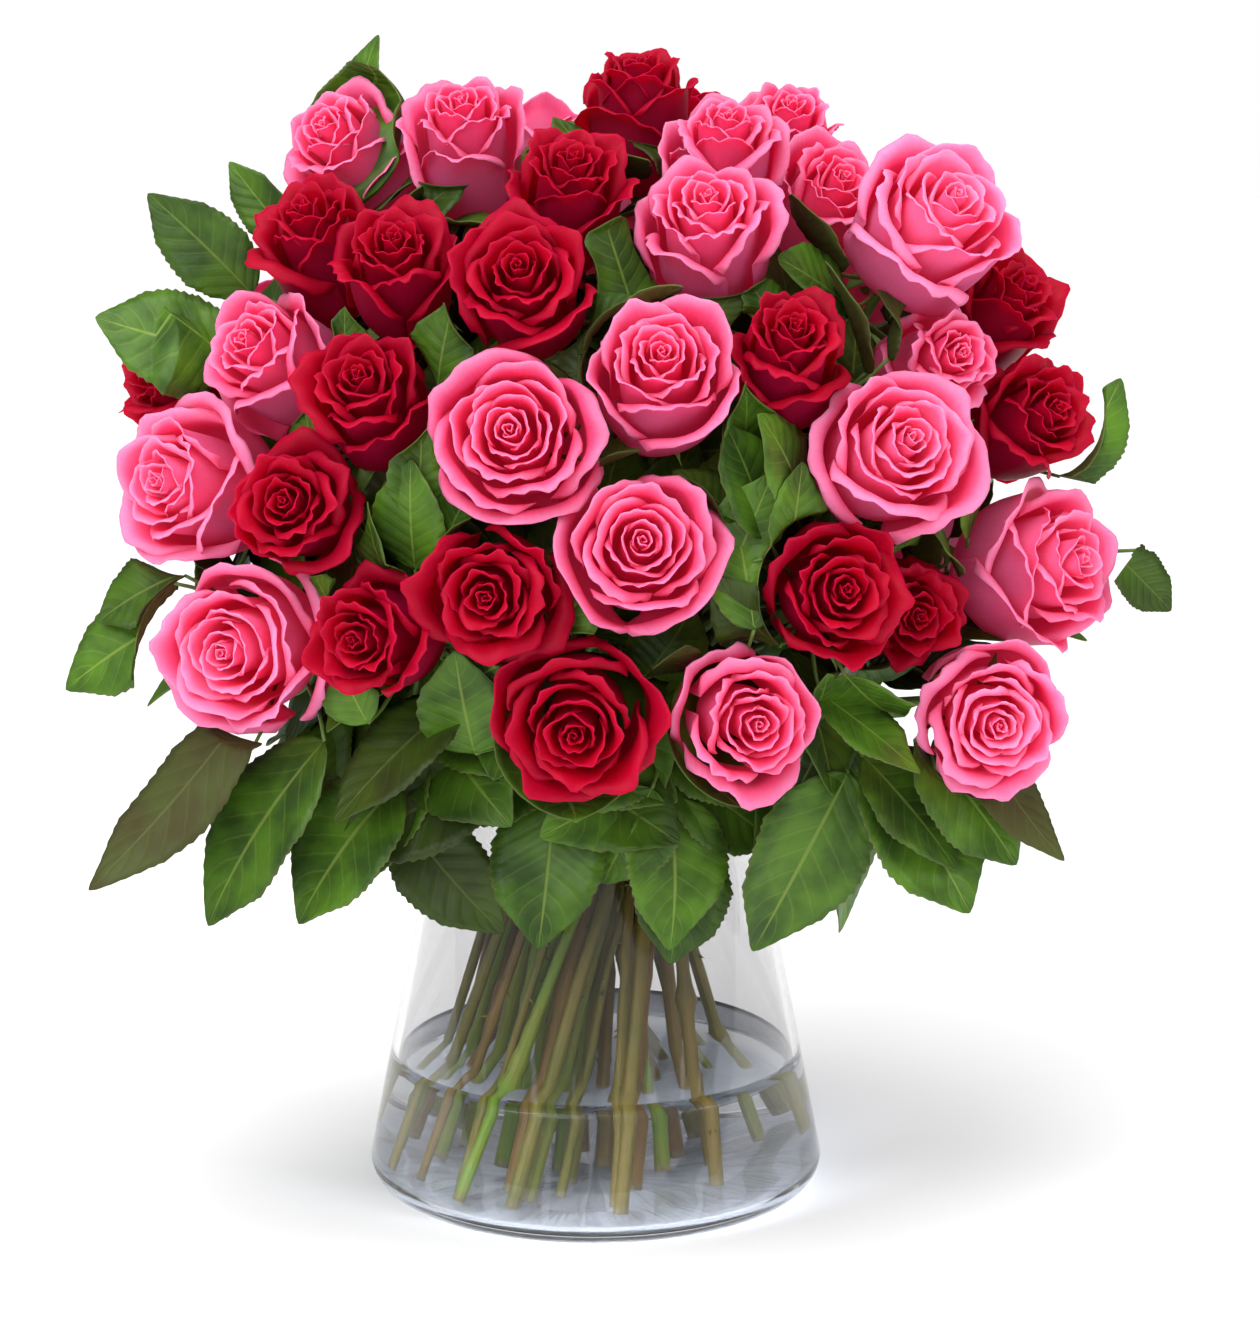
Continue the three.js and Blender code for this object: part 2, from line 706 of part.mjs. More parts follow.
const roses = [
  ...numbered("pink", [...PINK_ROSES, ...PINK_BACK_ROSES]),
  ...numbered("red", [...RED_ROSES, ...RED_BACK_ROSES]),
];
settleBlooms(roses);
runStems(roses);
settleStems(roses);

const pinkPetals = finish(PINK, 0.6);
const redPetals = finish(RED, 0.6);
for (const rose of roses)
  addPiece(rose.name, makeRose(rose), rose.name.startsWith("pink") ? pinkPetals : redPetals);

const grownRoses = roses.map((rose) => solidOf(makeRose(rose, GAP)));
const cutters = [...grownRoses, solidOf(makeVase(GAP))];
const leafFinish = finish(LEAF_GREEN, 0.55);
LEAVES.forEach((plan, i) => {
  let leaf = makeLeaf(roses, plan);
  for (const other of cutters) leaf = leaf.subtract(other);
  cutters.push(makeLeaf(roses, plan, GAP));
  const name = `compound_leaf_${String(i + 1).padStart(2, "0")}`;
  addPiece(name, geometryOf(biggest(leaf.simplify(SMALLEST_STEP))), leafFinish);
});

const glass = finish(GLASS, 0.05, { transparent: true, opacity: 0.35 });
const water = finish(WATER, 0.05, { transparent: true, opacity: 0.5 });
addPiece("glass_vase", makeVase(), glass);
addPiece("raffia_tie", makeTie(grownRoses), finish(RAFFIA, 0.8));
addPiece("water", makeWater(grownRoses), water);

export default bunch;
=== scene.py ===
"""A hand-tied bunch of pink and red roses in a flared glass vase of water, on a pale floor.

Every new piece is a surface worked out on a grid of two parameters. Lengths in the shape
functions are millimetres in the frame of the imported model, and METRES turns them into Blender's.
"""

import bmesh
import bpy
import numpy as np
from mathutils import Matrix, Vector


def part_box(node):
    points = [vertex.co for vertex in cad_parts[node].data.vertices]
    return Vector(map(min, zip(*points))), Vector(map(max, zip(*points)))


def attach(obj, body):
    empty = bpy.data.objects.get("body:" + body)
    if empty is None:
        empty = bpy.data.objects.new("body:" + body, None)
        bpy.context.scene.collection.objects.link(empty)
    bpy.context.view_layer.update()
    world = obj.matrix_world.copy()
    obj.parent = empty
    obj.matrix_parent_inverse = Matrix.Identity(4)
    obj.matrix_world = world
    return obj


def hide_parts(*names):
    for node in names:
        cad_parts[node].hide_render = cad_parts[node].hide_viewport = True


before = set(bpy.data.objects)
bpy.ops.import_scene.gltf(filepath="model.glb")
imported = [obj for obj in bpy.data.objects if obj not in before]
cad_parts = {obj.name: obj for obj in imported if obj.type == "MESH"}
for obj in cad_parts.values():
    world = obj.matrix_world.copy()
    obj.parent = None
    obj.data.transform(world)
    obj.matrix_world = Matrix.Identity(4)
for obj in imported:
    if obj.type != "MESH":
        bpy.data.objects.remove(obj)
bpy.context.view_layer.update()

METRES = 0.001
GOLDEN = np.radians(137.508)  # turn from one petal to the next
UP = np.array([0.0, 0.0, 1.0])

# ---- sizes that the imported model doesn't hold ----
PETALS = {"pink": 22, "red": 21}
PETAL_THICKNESS = 0.35
PETAL_ROWS = 17  # grid steps from a petal's claw to its rim
PETAL_COLUMNS = 19
BODY_SHARE = 0.6  # share of those rows below the rolled lip
STEM_SIDES = 10
STEM_ROWS = 72
HIP_RADIUS = 5.6
ROLLED_RIM = 4.0  # how far the rolled rims of the outer petals stand out
FULLEST = 0.62  # share of a bloom's length at which it is widest
BLOOM_SPAN = 75.0  # no part of a bloom is as far as this from its base
LEAF_THICKNESS = 0.45
LEAFLET_ROWS = 52  # grid steps along a leaflet, fine enough for its teeth
LEAFLET_COLUMNS = 9
TEETH = 17  # teeth along each edge of a leaflet
STEM_POINTS = 10  # points of a stem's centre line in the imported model
WAIST_POINT = 5  # the one at the tie's upper edge


# ---------------------------------------------------------------- small helpers
def unit(vectors):
    """Each vector divided by its length."""
    return vectors / np.maximum(np.linalg.norm(vectors, axis=-1, keepdims=True), 1e-9)


def smooth(low, high, x):
    """0 below low, 1 above high, and 3s^2 - 2s^3 between them."""
    s = np.clip((x - low) / (high - low), 0, 1)
    return s * s * (3 - 2 * s)


def mix(a, b, share):
    """The value a share of the way from a to b."""
    return a + (b - a) * share


def heading(turn, rise):
    """The direction turned from the front towards +X, and raised from level, in degrees."""
    t, r = np.radians(turn), np.radians(rise)
    return np.array([np.sin(t) * np.cos(r), -np.cos(t) * np.cos(r), np.sin(r)])


def turned(vector, axis, angle):
    """A vector turned about an axis by Rodrigues' formula."""
    return (
        vector * np.cos(angle)
        + np.cross(axis, vector) * np.sin(angle)
        + axis * np.dot(axis, vector) * (1 - np.cos(angle))
    )


def spline(points, count):
    """A Catmull-Rom curve through points, at count even steps of its parameter."""
    points = np.asarray(points, float)
    padded = np.vstack([2 * points[0] - points[1], points, 2 * points[-1] - points[-2]])
    at = np.linspace(0, len(points) - 1 - 1e-9, count)
    i = at.astype(int)
    s = (at - i)[:, None]
    a, b, c, d = (padded[i + k] for k in range(4))
    return 0.5 * (
        2 * b + (c - a) * s + (2 * a - 5 * b + 4 * c - d) * s**2 + (3 * b - a - 3 * c + d) * s**3
    )


def frames_along(line):
    """For each point of a line, its tangent and two directions across it that turn little.

    The first is the one before it without its part along the tangent, and the second is square to
    both."""
    way = unit(np.gradient(line, axis=0))
    guide = UP if abs(way[0, 2]) < 0.9 else np.array([1.0, 0.0, 0.0])
    across = np.empty_like(way)
    for i, w in enumerate(way):
        guide = guide - w * np.dot(guide, w)
        guide = guide / np.linalg.norm(guide)
        across[i] = guide
    return way, across, np.cross(way, across)


def tube(line, radius, sides):
    """A round tube: ring i holds line[i] + radius[i, k] * (cos, sin of its angle across)."""
    way, across, along = frames_along(line)
    angle = np.linspace(0, 2 * np.pi, sides + 1)
    radius = np.broadcast_to(radius, (len(line), sides + 1))
    return (
        line[:, None]
        + across[:, None] * (radius * np.cos(angle))[..., None]
        + along[:, None] * (radius * np.sin(angle))[..., None]
    )


def closed_tube(line, radius, sides):
    """A tube whose first and last rings shrink to a point, so that both ends are closed."""
    rings = tube(line, radius, sides)
    first = np.broadcast_to(line[0], rings[:1].shape)
    last = np.broadcast_to(line[-1], rings[:1].shape)
    return np.concatenate([first, rings, last])


def place_values(points, across=None, along=None, layer=0.0, chance=0.0):
    """The four values that a material reads at each point of a grid: the shares across and
    along it, its layer and its chance."""
    rows, columns = points.shape[-3:-1]
    u = np.linspace(0, 1, columns)[None] if across is None else across
    v = np.linspace(0, 1, rows)[:, None] if along is None else along
    shape = points.shape[:-1]
    return np.stack([np.broadcast_to(x, shape) for x in (u, v, layer, chance)], axis=-1)


def patch(points, finish=0, **values):
    """A grid of points with the number of its material and what place_values takes."""
    return points, place_values(points, **values), finish


def in_scene(name, data):
    """A new object at the origin of the scene."""
    made = bpy.data.objects.new(name, data)
    bpy.context.scene.collection.objects.link(made)
    return made


def add_piece(name, patches, materials, nodes, weld=True, solid=None, back=0):
    """One object from grids of shape (..., rows, columns, 3), in millimetres.

    solid gives the walls a thickness, behind the faces, and back is how many materials further
    on their other side is."""
    points, values, quads, finishes = [], [], [], []
    start = 0
    for grid, value, finish in patches:
        rows, columns = grid.shape[-3:-1]
        copies = grid.size // (rows * columns * 3)
        index = np.arange(rows * columns).reshape(rows, columns)
        quad = np.stack(
            [index[:-1, :-1], index[:-1, 1:], index[1:, 1:], index[1:, :-1]], axis=-1
        ).reshape(-1, 4)
        quad = quad[None] + (np.arange(copies) * rows * columns)[:, None, None]
        quads.append(quad.reshape(-1, 4) + start)
        finishes.append(np.full(len(quads[-1]), finish))
        points.append(grid.reshape(-1, 3))
        values.append(value.reshape(-1, 4))
        start += copies * rows * columns
    points = np.concatenate(points) * METRES
    quads = np.concatenate(quads)
    mesh = bpy.data.meshes.new(name)
    mesh.vertices.add(len(points))
    mesh.vertices.foreach_set("co", points.ravel())
    mesh.loops.add(quads.size)
    mesh.loops.foreach_set("vertex_index", quads.ravel().astype(np.int32))
    mesh.polygons.add(len(quads))
    mesh.polygons.foreach_set("loop_start", np.arange(0, quads.size, 4, dtype=np.int32))
    mesh.polygons.foreach_set("material_index", np.concatenate(finishes).astype(np.int32))
    mesh.polygons.foreach_set("use_smooth", np.ones(len(quads), bool))
    place = mesh.attributes.new("place", "FLOAT_COLOR", "POINT")
    place.data.foreach_set("color", np.concatenate(values).astype(np.float32).ravel())
    mesh.update(calc_edges=True)
    for material in materials:
        mesh.materials.append(material)
    if weld:
        work = bmesh.new()
        work.from_mesh(mesh)
        bmesh.ops.remove_doubles(work, verts=work.verts, dist=1e-6)
        work.to_mesh(mesh)
        work.free()
    piece = in_scene(name, mesh)
    if solid:
        wall = piece.modifiers.new("wall", "SOLIDIFY")
        wall.thickness = solid * METRES
        wall.offset = -1
        wall.material_offset = back
    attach(piece, "root")
    if nodes:
        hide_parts(*nodes)
    return piece


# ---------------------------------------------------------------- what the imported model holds
def welded(node):
    """A node's points in millimetres, merged where they meet, and its pairs of joined points."""
    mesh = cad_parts[node].data
    points = np.empty(len(mesh.vertices) * 3)
    mesh.vertices.foreach_get("co", points)
    points = points.reshape(-1, 3) / METRES
    corners = np.empty(len(mesh.loops), np.int32)
    mesh.loops.foreach_get("vertex_index", corners)
    _, first, same = np.unique(
        np.round(points / 0.02), axis=0, return_index=True, return_inverse=True
    )
    triangles = same.ravel()[corners].reshape(-1, 3)
    pairs = np.concatenate([triangles[:, [0, 1]], triangles[:, [1, 2]], triangles[:, [2, 0]]])
    return points[first], pairs


def read_rose(node):
    """A rose's centre line and the axis, length and width of its bloom.

    A packed rose is a skin over rings. Starting at the middle of the cut end, each step across
    the skin's edges reaches the next ring, whose mean is a point of the centre line."""
    points, pairs = welded(node)
    lowest = points[:, 2].argmin()
    end = np.flatnonzero(np.linalg.norm(points - points[lowest], axis=1) < 8)
    level = np.full(len(points), -1)
    level[end[np.linalg.norm(points[end] - points[end].mean(0), axis=1).argmin()]] = 0
    step = 0
    while (level < 0).any():
        touching = pairs[level[pairs[:, 0]] == step, 1]
        touching = np.concatenate([touching, pairs[level[pairs[:, 1]] == step, 0]])
        level[touching[level[touching] < 0]] = step + 1
        step += 1
    centres = np.array([points[level == i].mean(0) for i in range(1, step)])
    line, bloom = centres[:STEM_POINTS], centres[STEM_POINTS:]
    axis = unit(bloom[-1] - line[-1])
    widest = max(
        np.linalg.norm(points[level == i] - centres[i - 1], axis=1).max()
        for i in range(STEM_POINTS + 1, step)
    )
    across = unit(np.cross(UP if abs(axis[2]) < 0.9 else [0.0, 1.0, 0.0], axis))
    return {
        "name": node,
        "kind": node.split("_")[0],
        "line": line,
        "base": line[-1],
        "axis": axis,
        "across": across,
        "along": np.cross(axis, across),
        "length": np.linalg.norm(bloom[3] - line[-1]),
        "radius": widest,
    }


def in_bloom(rose, out, angle, height):
    """Points given by their distance from a bloom's axis, angle about it and height on it."""
    return (
        rose["base"]
        + rose["across"] * (out * np.cos(angle))[..., None]
        + rose["along"] * (out * np.sin(angle))[..., None]
        + rose["axis"] * height[..., None]
    )


ROSES = [read_rose(n) for n in sorted(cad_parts) if "_rose_" in n]
BY_NAME = {rose["name"]: rose for rose in ROSES}


def clear_of_blooms(points, room=1.0):
    """Points inside a bloom's outline are pushed straight out of it, away from its axis.

    The outline is a half sine from the calyx to the rim, a little wider than the bloom."""
    flat = points.reshape(-1, 3).copy()
    for _ in range(3):
        for rose in ROSES:
            at = flat - rose["base"]
            if np.abs(at).max(1).min() > BLOOM_SPAN:
                continue
            height = at @ rose["axis"]
            side = at - height[:, None] * rose["axis"]
            out = np.linalg.norm(side, axis=1)
            share = height / rose["length"]
            round_side = 1 - (np.clip(share, 0, 1.05) / FULLEST - 1) ** 2
            limit = room + rose["radius"] * (0.98 * np.sqrt(np.clip(round_side, 0, 1)))
            limit = np.where(share > FULLEST, room + rose["radius"] * 0.98, limit)
            limit = limit + ROLLED_RIM * smooth(0.4, 0.8, share)
            inside = (share > -0.02) & (share < 1.0) & (out < limit)
            push = np.where(inside, limit - out, 0)
            flat += unit(side) * push[:, None]
    return flat.reshape(points.shape)


def crosses_a_face(points):
    """Whether more than a few of a blade's points lie just inside or above a bloom's open face."""
    for rose in ROSES:
        at = points.reshape(-1, 3) - rose["base"]
        height = at @ rose["axis"]
        out = np.linalg.norm(at - height[:, None] * rose["axis"], axis=1)
        share = height / rose["length"]
        if ((share > 0.7) & (share < 1.2) & (out < 0.85 * rose["radius"])).mean() > 0.06:
            return True
    return False


# ---------------------------------------------------------------- materials
class Nodes:
    """A node tree that is filled one node at a time."""

    def __init__(self, tree):
        """Takes the tree to be filled."""
        self.tree = tree

    def feed(self, node, inputs):
        """Gives each named input of a node a value of its own or what another node puts out."""
        for name, value in inputs.items():
            if isinstance(value, bpy.types.NodeSocket):
                self.tree.links.new(value, node.inputs[name])
            else:
                node.inputs[name].default_value = value
        return node

    def add(self, kind, inputs=None, **settings):
        """A new node with its settings made and its inputs fed."""
        node = self.tree.nodes.new(kind)
        for name, value in settings.items():
            setattr(node, name, value)
        return self.feed(node, inputs or {})

    def math(self, operation, *values):
        """One sum on values or sockets."""
        return self.add("ShaderNodeMath", dict(enumerate(values)), operation=operation).outputs[0]

    def between(self, value, low, high, to_low=0.0, to_high=1.0):
        """A smooth step of value from low to high, given out between two new limits."""
        inputs = {
            "Value": value,
            "From Min": low,
            "From Max": high,
            "To Min": to_low,
            "To Max": to_high,
        }
        node = self.add("ShaderNodeMapRange", inputs, interpolation_type="SMOOTHSTEP")
        return node.outputs["Result"]

    def blend(self, share, a, b, blend_type="MIX"):
        """Colour a turned into colour b by a share."""
        node = self.add("ShaderNodeMix", data_type="RGBA", blend_type=blend_type)
        return self.feed(node, {0: share, 6: a, 7: b}).outputs[2]

    def noise(self, where, scale, detail=3.0):
        """Cloudy noise from 0 to 1."""
        inputs = {"Vector": where, "Scale": scale, "Detail": detail, "Roughness": 0.5}
        return self.add("ShaderNodeTexNoise", inputs).outputs["Fac"]

    def group(self, tree, **inputs):
        """The outputs of a node group placed here with its own values."""
        return self.feed(self.add("ShaderNodeGroup", node_tree=tree), inputs).outputs

    def bump(self, height, strength, depth):
        """The normal of a surface raised by a height, in metres of depth."""
        inputs = {"Height": height, "Strength": strength, "Distance": depth}
        return self.add("ShaderNodeBump", inputs).outputs["Normal"]


def rgb(red, green, blue):
    """A solid colour."""
    return (red, green, blue, 1.0)


def new_group(name, inputs, outputs):
    """An empty node group with named sockets, and its input and output nodes."""
    tree = bpy.data.node_groups.new(name, "ShaderNodeTree")
    for direction, sockets in (("INPUT", inputs), ("OUTPUT", outputs)):
        for socket, kind in sockets.items():
            tree.interface.new_socket(socket, in_out=direction, socket_type=f"NodeSocket{kind}")
    nodes = Nodes(tree)
    return tree, nodes, nodes.add("NodeGroupInput").outputs, nodes.add("NodeGroupOutput").inputs


def place_group():
    """Puts out the four values that every piece carries: Across, Along, Layer and Chance."""
    outputs = {"Across": "Float", "Along": "Float", "Layer": "Float", "Chance": "Float"}
    tree, n, _, out = new_group("place on the piece", {}, outputs)
    place = n.add("ShaderNodeAttribute", attribute_name="place").outputs
    parts = n.add("ShaderNodeSeparateColor", {"Color": place["Color"]}).outputs
    for name, socket in zip(outputs, (*parts, place["Alpha"])):
        n.tree.links.new(socket, out[name])
    return tree


def vein_group():
    """Fine lines that fan out along a petal or leaf, broken up by noise: 0 between, 1 on them."""
    inputs = {"Across": "Float", "Along": "Float", "Lines": "Float"}
    tree, n, given, out = new_group("fanned veins", inputs, {"Line": "Float"})
    where = n.add("ShaderNodeTexCoord").outputs["Object"]
    wander = n.math("MULTIPLY", n.noise(where, 260.0), 0.05)
    side = n.math("ADD", given["Across"], wander)
    wave = n.math("SINE", n.math("MULTIPLY", side, given["Lines"]))
    n.tree.links.new(n.between(wave, 0.3, 1.0), out["Line"])
    return tree


def mottle_group():
    """Soft patches of lighter and darker tone, Tone around 1, and a fine grain around 0."""
    inputs = {"Scale": "Float", "Amount": "Float"}
    tree, n, given, out = new_group("mottle", inputs, {"Tone": "Float", "Grain": "Float"})
    where = n.add("ShaderNodeTexCoord").outputs["Object"]
    patches = n.math("SUBTRACT", n.noise(where, given["Scale"], 4.0), 0.5)
    tone = n.math("MULTIPLY_ADD", patches, given["Amount"], 1.0)
    grain = n.math("SUBTRACT", n.noise(where, 2400.0, 2.0), 0.5)
    n.tree.links.new(tone, out["Tone"])
    n.tree.links.new(grain, out["Grain"])
    return tree


PLACE = place_group()
VEINS = vein_group()
MOTTLE = mottle_group()


def new_material(name):
    """An empty material with its Principled shader, whose other sockets are set by the caller."""
    material = bpy.data.materials.new(name)
    material.use_nodes = True
    nodes = Nodes(material.node_tree)
    shader = material.node_tree.nodes["Principled BSDF"]
    return material, nodes, shader


def veins_on(n, place, lines):
    """The fine lines of a piece, by its place values and how close together they are."""
    return n.group(VEINS, Across=place["Across"], Along=place["Along"], Lines=lines)["Line"]


def tinted(n, colour, tone):
    """A colour made lighter or darker by a tone around 1."""
    grey = n.add("ShaderNodeCombineColor", {0: tone, 1: tone, 2: tone}).outputs[0]
    return n.blend(1.0, colour, grey, "MULTIPLY")


def finish_with(n, shader, colour, normal, roughness):
    """The three inputs that every dull finish has."""
    n.feed(shader, {"Base Color": colour, "Normal": normal, "Roughness": roughness})


def petal_material(name, rim, face, fold, heart_shade, guard, paleness, painted_glow, gloss):
    """Petals: a paler rim, a body colour, painted shade that deepens the colour towards the claw (the
    fold colour) and in the heart, and the duller outermost petals, each petal in a tone of its own.

    The painted glow, in the colour of the heart's painted shade, stands for the light that thin
    petals let through from all sides."""
    material, n, shader = new_material(name)
    place = n.group(PLACE)
    mottle = n.group(MOTTLE, Scale=70.0, Amount=0.35)
    veins = veins_on(n, place, 150.0)
    # painted shade: towards the claw the face colour deepens to the fold colour
    depth = n.between(place["Along"], 0.35, 0.8, 1.0, 0.0)
    colour = n.blend(depth, face, fold)
    # painted shade in the heart: the inner petals deepen towards the heart colour
    heart_shade_mask = n.between(place["Layer"], 0.02, 0.42, 1.0, 0.0)
    colour = n.blend(n.math("MULTIPLY", heart_shade_mask, 0.75), colour, heart_shade)
    edge = n.math("ABSOLUTE", n.math("MULTIPLY_ADD", place["Across"], 2.0, -1.0))
    edge = n.between(edge, 0.86, 1.0, 0.0, 0.5)
    top = n.between(place["Along"], 0.84, 1.0)
    edge = n.math("MAXIMUM", n.math("MULTIPLY", edge, n.between(place["Along"], 0.4, 0.8)), top)
    colour = n.blend(n.math("MULTIPLY", edge, 0.85), colour, rim)
    pale = n.between(place["Chance"], 0.35, 0.95, 0.0, paleness)
    pale = n.math("MULTIPLY", pale, n.between(place["Along"], 0.3, 0.7))
    colour = n.blend(pale, colour, rim)
    outer = n.between(place["Layer"], 0.5, 0.9)
    low = n.between(place["Along"], 0.55, 1.0, 1.0, 0.15)
    colour = n.blend(n.math("MULTIPLY", outer, low), colour, guard)
    tone = n.math("MULTIPLY_ADD", place["Chance"], 0.2, 0.9)
    tone = n.math("MULTIPLY", tone, mottle["Tone"])
    tone = n.math("MULTIPLY", tone, n.math("MULTIPLY_ADD", veins, -0.04, 1.01))
    height = n.math("MULTIPLY_ADD", mottle["Grain"], 0.5, n.math("MULTIPLY", veins, -0.3))
    finish = {
        "Base Color": tinted(n, colour, tone),
        "Normal": n.bump(height, 0.2, 0.0002),
        "Roughness": 0.5,
        "Specular IOR Level": gloss,
        "Subsurface Weight": 0.4,
        "Subsurface Radius": (1.0, 0.12, 0.2),
        "Subsurface Scale": 0.006,
        # a painted glow, in the colour of the heart's painted shade
        "Emission Color": heart_shade,
        "Emission Strength": painted_glow,
    }
    n.feed(shader, finish)
    return material


def leaf_material(name, blade, dark, vein, edge, roughness):
    """A leaflet: a pale midrib and side veins on a mottled green blade with a faint dry edge.

    The side veins are stripes of the share along the leaflet, swept forwards across it."""
    material, n, shader = new_material(name)
    place = n.group(PLACE)
    mottle = n.group(MOTTLE, Scale=55.0, Amount=0.9)
    side = n.math("ABSOLUTE", n.math("MULTIPLY_ADD", place["Across"], 2.0, -1.0))
    midrib = n.between(side, 0.015, 0.05, 1.0, 0.0)
    swept = n.math("MULTIPLY_ADD", side, -0.24, place["Along"])
    stripe = n.math("SINE", n.math("MULTIPLY", swept, 52.0))
    thin = n.between(side, 0.0, 0.95, 0.93, 1.0)
    branch = n.between(n.math("SUBTRACT", stripe, thin), -0.05, 0.03)
    lines = n.math("MAXIMUM", midrib, n.math("MULTIPLY", branch, 0.3))
    colour = n.blend(n.between(mottle["Tone"], 0.8, 1.2), dark, blade)
    colour = n.blend(n.math("MULTIPLY", lines, 0.6), colour, vein)
    rim = n.between(side, 0.93, 1.0, 0.0, 0.55)
    colour = n.blend(rim, colour, edge)
    olive = n.between(place["Chance"], 0.0, 0.3, 0.5, 0.0)
    colour = n.blend(olive, colour, rgb(0.075, 0.085, 0.022))
    tone = n.math("MULTIPLY_ADD", place["Chance"], 0.9, 0.5)
    height = n.math("MULTIPLY_ADD", mottle["Grain"], 0.12, n.between(stripe, -1.0, 1.0, 1.0, 0.0))
    height = n.math("MULTIPLY_ADD", midrib, -1.2, height)
    finish = {
        "Base Color": tinted(n, colour, tone),
        "Normal": n.bump(height, 0.35, 0.0005),
        "Roughness": n.between(mottle["Tone"], 0.8, 1.2, roughness + 0.08, roughness - 0.06),
        "Specular IOR Level": 0.22,
    }
    n.feed(shader, finish)
    return material


def stem_material():
    """Stems: olive, bright green or red-brown by each stem's chance, streaked along its length."""
    material, n, shader = new_material("rose_stem")
    place = n.group(PLACE)
    mottle = n.group(MOTTLE, Scale=45.0, Amount=1.0)
    olive = n.between(place["Chance"], 0.2, 0.6)
    green = n.blend(olive, rgb(0.17, 0.3, 0.01), rgb(0.17, 0.17, 0.02))
    colour = n.blend(n.between(place["Chance"], 0.72, 0.95), green, rgb(0.23, 0.12, 0.025))
    streak = n.between(mottle["Tone"], 0.85, 1.15)
    colour = n.blend(n.math("MULTIPLY", streak, 0.45), colour, rgb(0.2, 0.12, 0.025))
    colour = n.blend(n.between(place["Along"], 0.55, 0.8), colour, rgb(0.1, 0.21, 0.035))
    colour = n.blend(n.between(place["Along"], 0.0, 0.012, 0.8, 0.0), colour, rgb(0.35, 0.3, 0.16))
    height = n.math("ADD", veins_on(n, place, 60.0), n.math("MULTIPLY", mottle["Grain"], 0.6))
    finish_with(n, shader, tinted(n, colour, mottle["Tone"]), n.bump(height, 0.4, 0.0003), 0.45)
    return material


def sepal_material():
    """Sepals and hips: a fresh yellow-green with fine lengthwise lines."""
    material, n, shader = new_material("sepal")
    place = n.group(PLACE)
    mottle = n.group(MOTTLE, Scale=90.0, Amount=0.7)
    veins = veins_on(n, place, 44.0)
    green = n.blend(place["Chance"], rgb(0.1, 0.22, 0.035), rgb(0.2, 0.33, 0.06))
    colour = n.blend(n.math("MULTIPLY", veins, 0.3), green, rgb(0.3, 0.42, 0.12))
    grain = n.bump(mottle["Grain"], 0.3, 0.0002)
    finish_with(n, shader, tinted(n, colour, mottle["Tone"]), grain, 0.5)
    return material


def raffia_material():
    """Raffia: straw-coloured fibres that run along each strand."""
    material, n, shader = new_material("raffia")
    place = n.group(PLACE)
    mottle = n.group(MOTTLE, Scale=220.0, Amount=1.2)
    line = veins_on(n, place, 70.0)
    colour = n.blend(line, rgb(0.52, 0.37, 0.17), rgb(0.3, 0.19, 0.07))
    finish_with(n, shader, tinted(n, colour, mottle["Tone"]), n.bump(line, 0.6, 0.0003), 0.65)
    return material


def clear_material(name, tint, lets, ior, ripple_scale, ripple):
    """Glass or water: clear all through, with a faint unevenness. Lets is how much of the lamps'
    light goes on at each face: nearly all of it in glass, and more than all of it in water, which
    stands for the light that water gathers."""
    material, n, shader = new_material(name)
    where = n.add("ShaderNodeTexCoord").outputs["Object"]
    finish_with(n, shader, tint, n.bump(n.noise(where, ripple_scale, 1.0), ripple, 0.001), 0.0)
    n.feed(shader, {"IOR": ior, "Specular IOR Level": 0.3, "Transmission Weight": 1.0})
    lamps = n.add("ShaderNodeLightPath").outputs["Is Shadow Ray"]
    through = n.add("ShaderNodeBsdfTransparent", {"Color": lets}).outputs[0]
    both = n.add("ShaderNodeMixShader", {0: lamps, 1: shader.outputs[0], 2: through})
    n.feed(material.node_tree.nodes["Material Output"], {"Surface": both.outputs[0]})
    return material


# How pale some pink blooms are: 0 is deep, 1 is pale, and above 1 more of their petals are pale.
# In the others it follows how open they are.
TONES = {
    "pink_rose_07": 1.5,
    "pink_rose_08": 0.3,
    "pink_rose_10": 1.3,
    "pink_rose_11": 0.35,
    "pink_rose_14": 0.2,
    "pink_rose_17": 1.5,
}
# The colours of each petal finish: rim, face, fold (painted shade), heart (painted shade) and guard.
PETAL_COLOURS = {
    "pink_petal_outside": (
        (0.95, 0.2, 0.4), (0.82, 0.055, 0.18), (0.7, 0.015, 0.08), (0.82, 0.025, 0.11),
        (0.46, 0.08, 0.19),
    ),
    "pink_petal_inside": (
        (0.97, 0.24, 0.43), (0.92, 0.065, 0.19), (0.84, 0.006, 0.05), (0.86, 0.02, 0.09),
        (0.9, 0.08, 0.21),
    ),
    "red_petal_outside": (
        (0.4, 0.001, 0.032), (0.29, 0.0005, 0.018), (0.18, 0.0002, 0.01), (0.3, 0.0005, 0.011),
        (0.19, 0.001, 0.022),
    ),
    "red_petal_inside": (
        (0.42, 0.001, 0.026), (0.34, 0.0005, 0.014), (0.2, 0.0001, 0.006), (0.32, 0.0004, 0.008),
        (0.3, 0.0006, 0.016),
    ),
}
# How pale the petals can be, the strength of their painted glow, and their gloss.
PALENESS_PAINTED_GLOW_GLOSS = {"pink": (0.65, 0.07, 0.2), "red": (0.2, 0.08, 0.1)}
PETAL_FINISHES = {
    kind: [
        petal_material(name, *(rgb(*colour) for colour in colours), *PALENESS_PAINTED_GLOW_GLOSS[kind])
        for name, colours in PETAL_COLOURS.items()
        if name.startswith(kind)
    ]
    for kind in PALENESS_PAINTED_GLOW_GLOSS
}
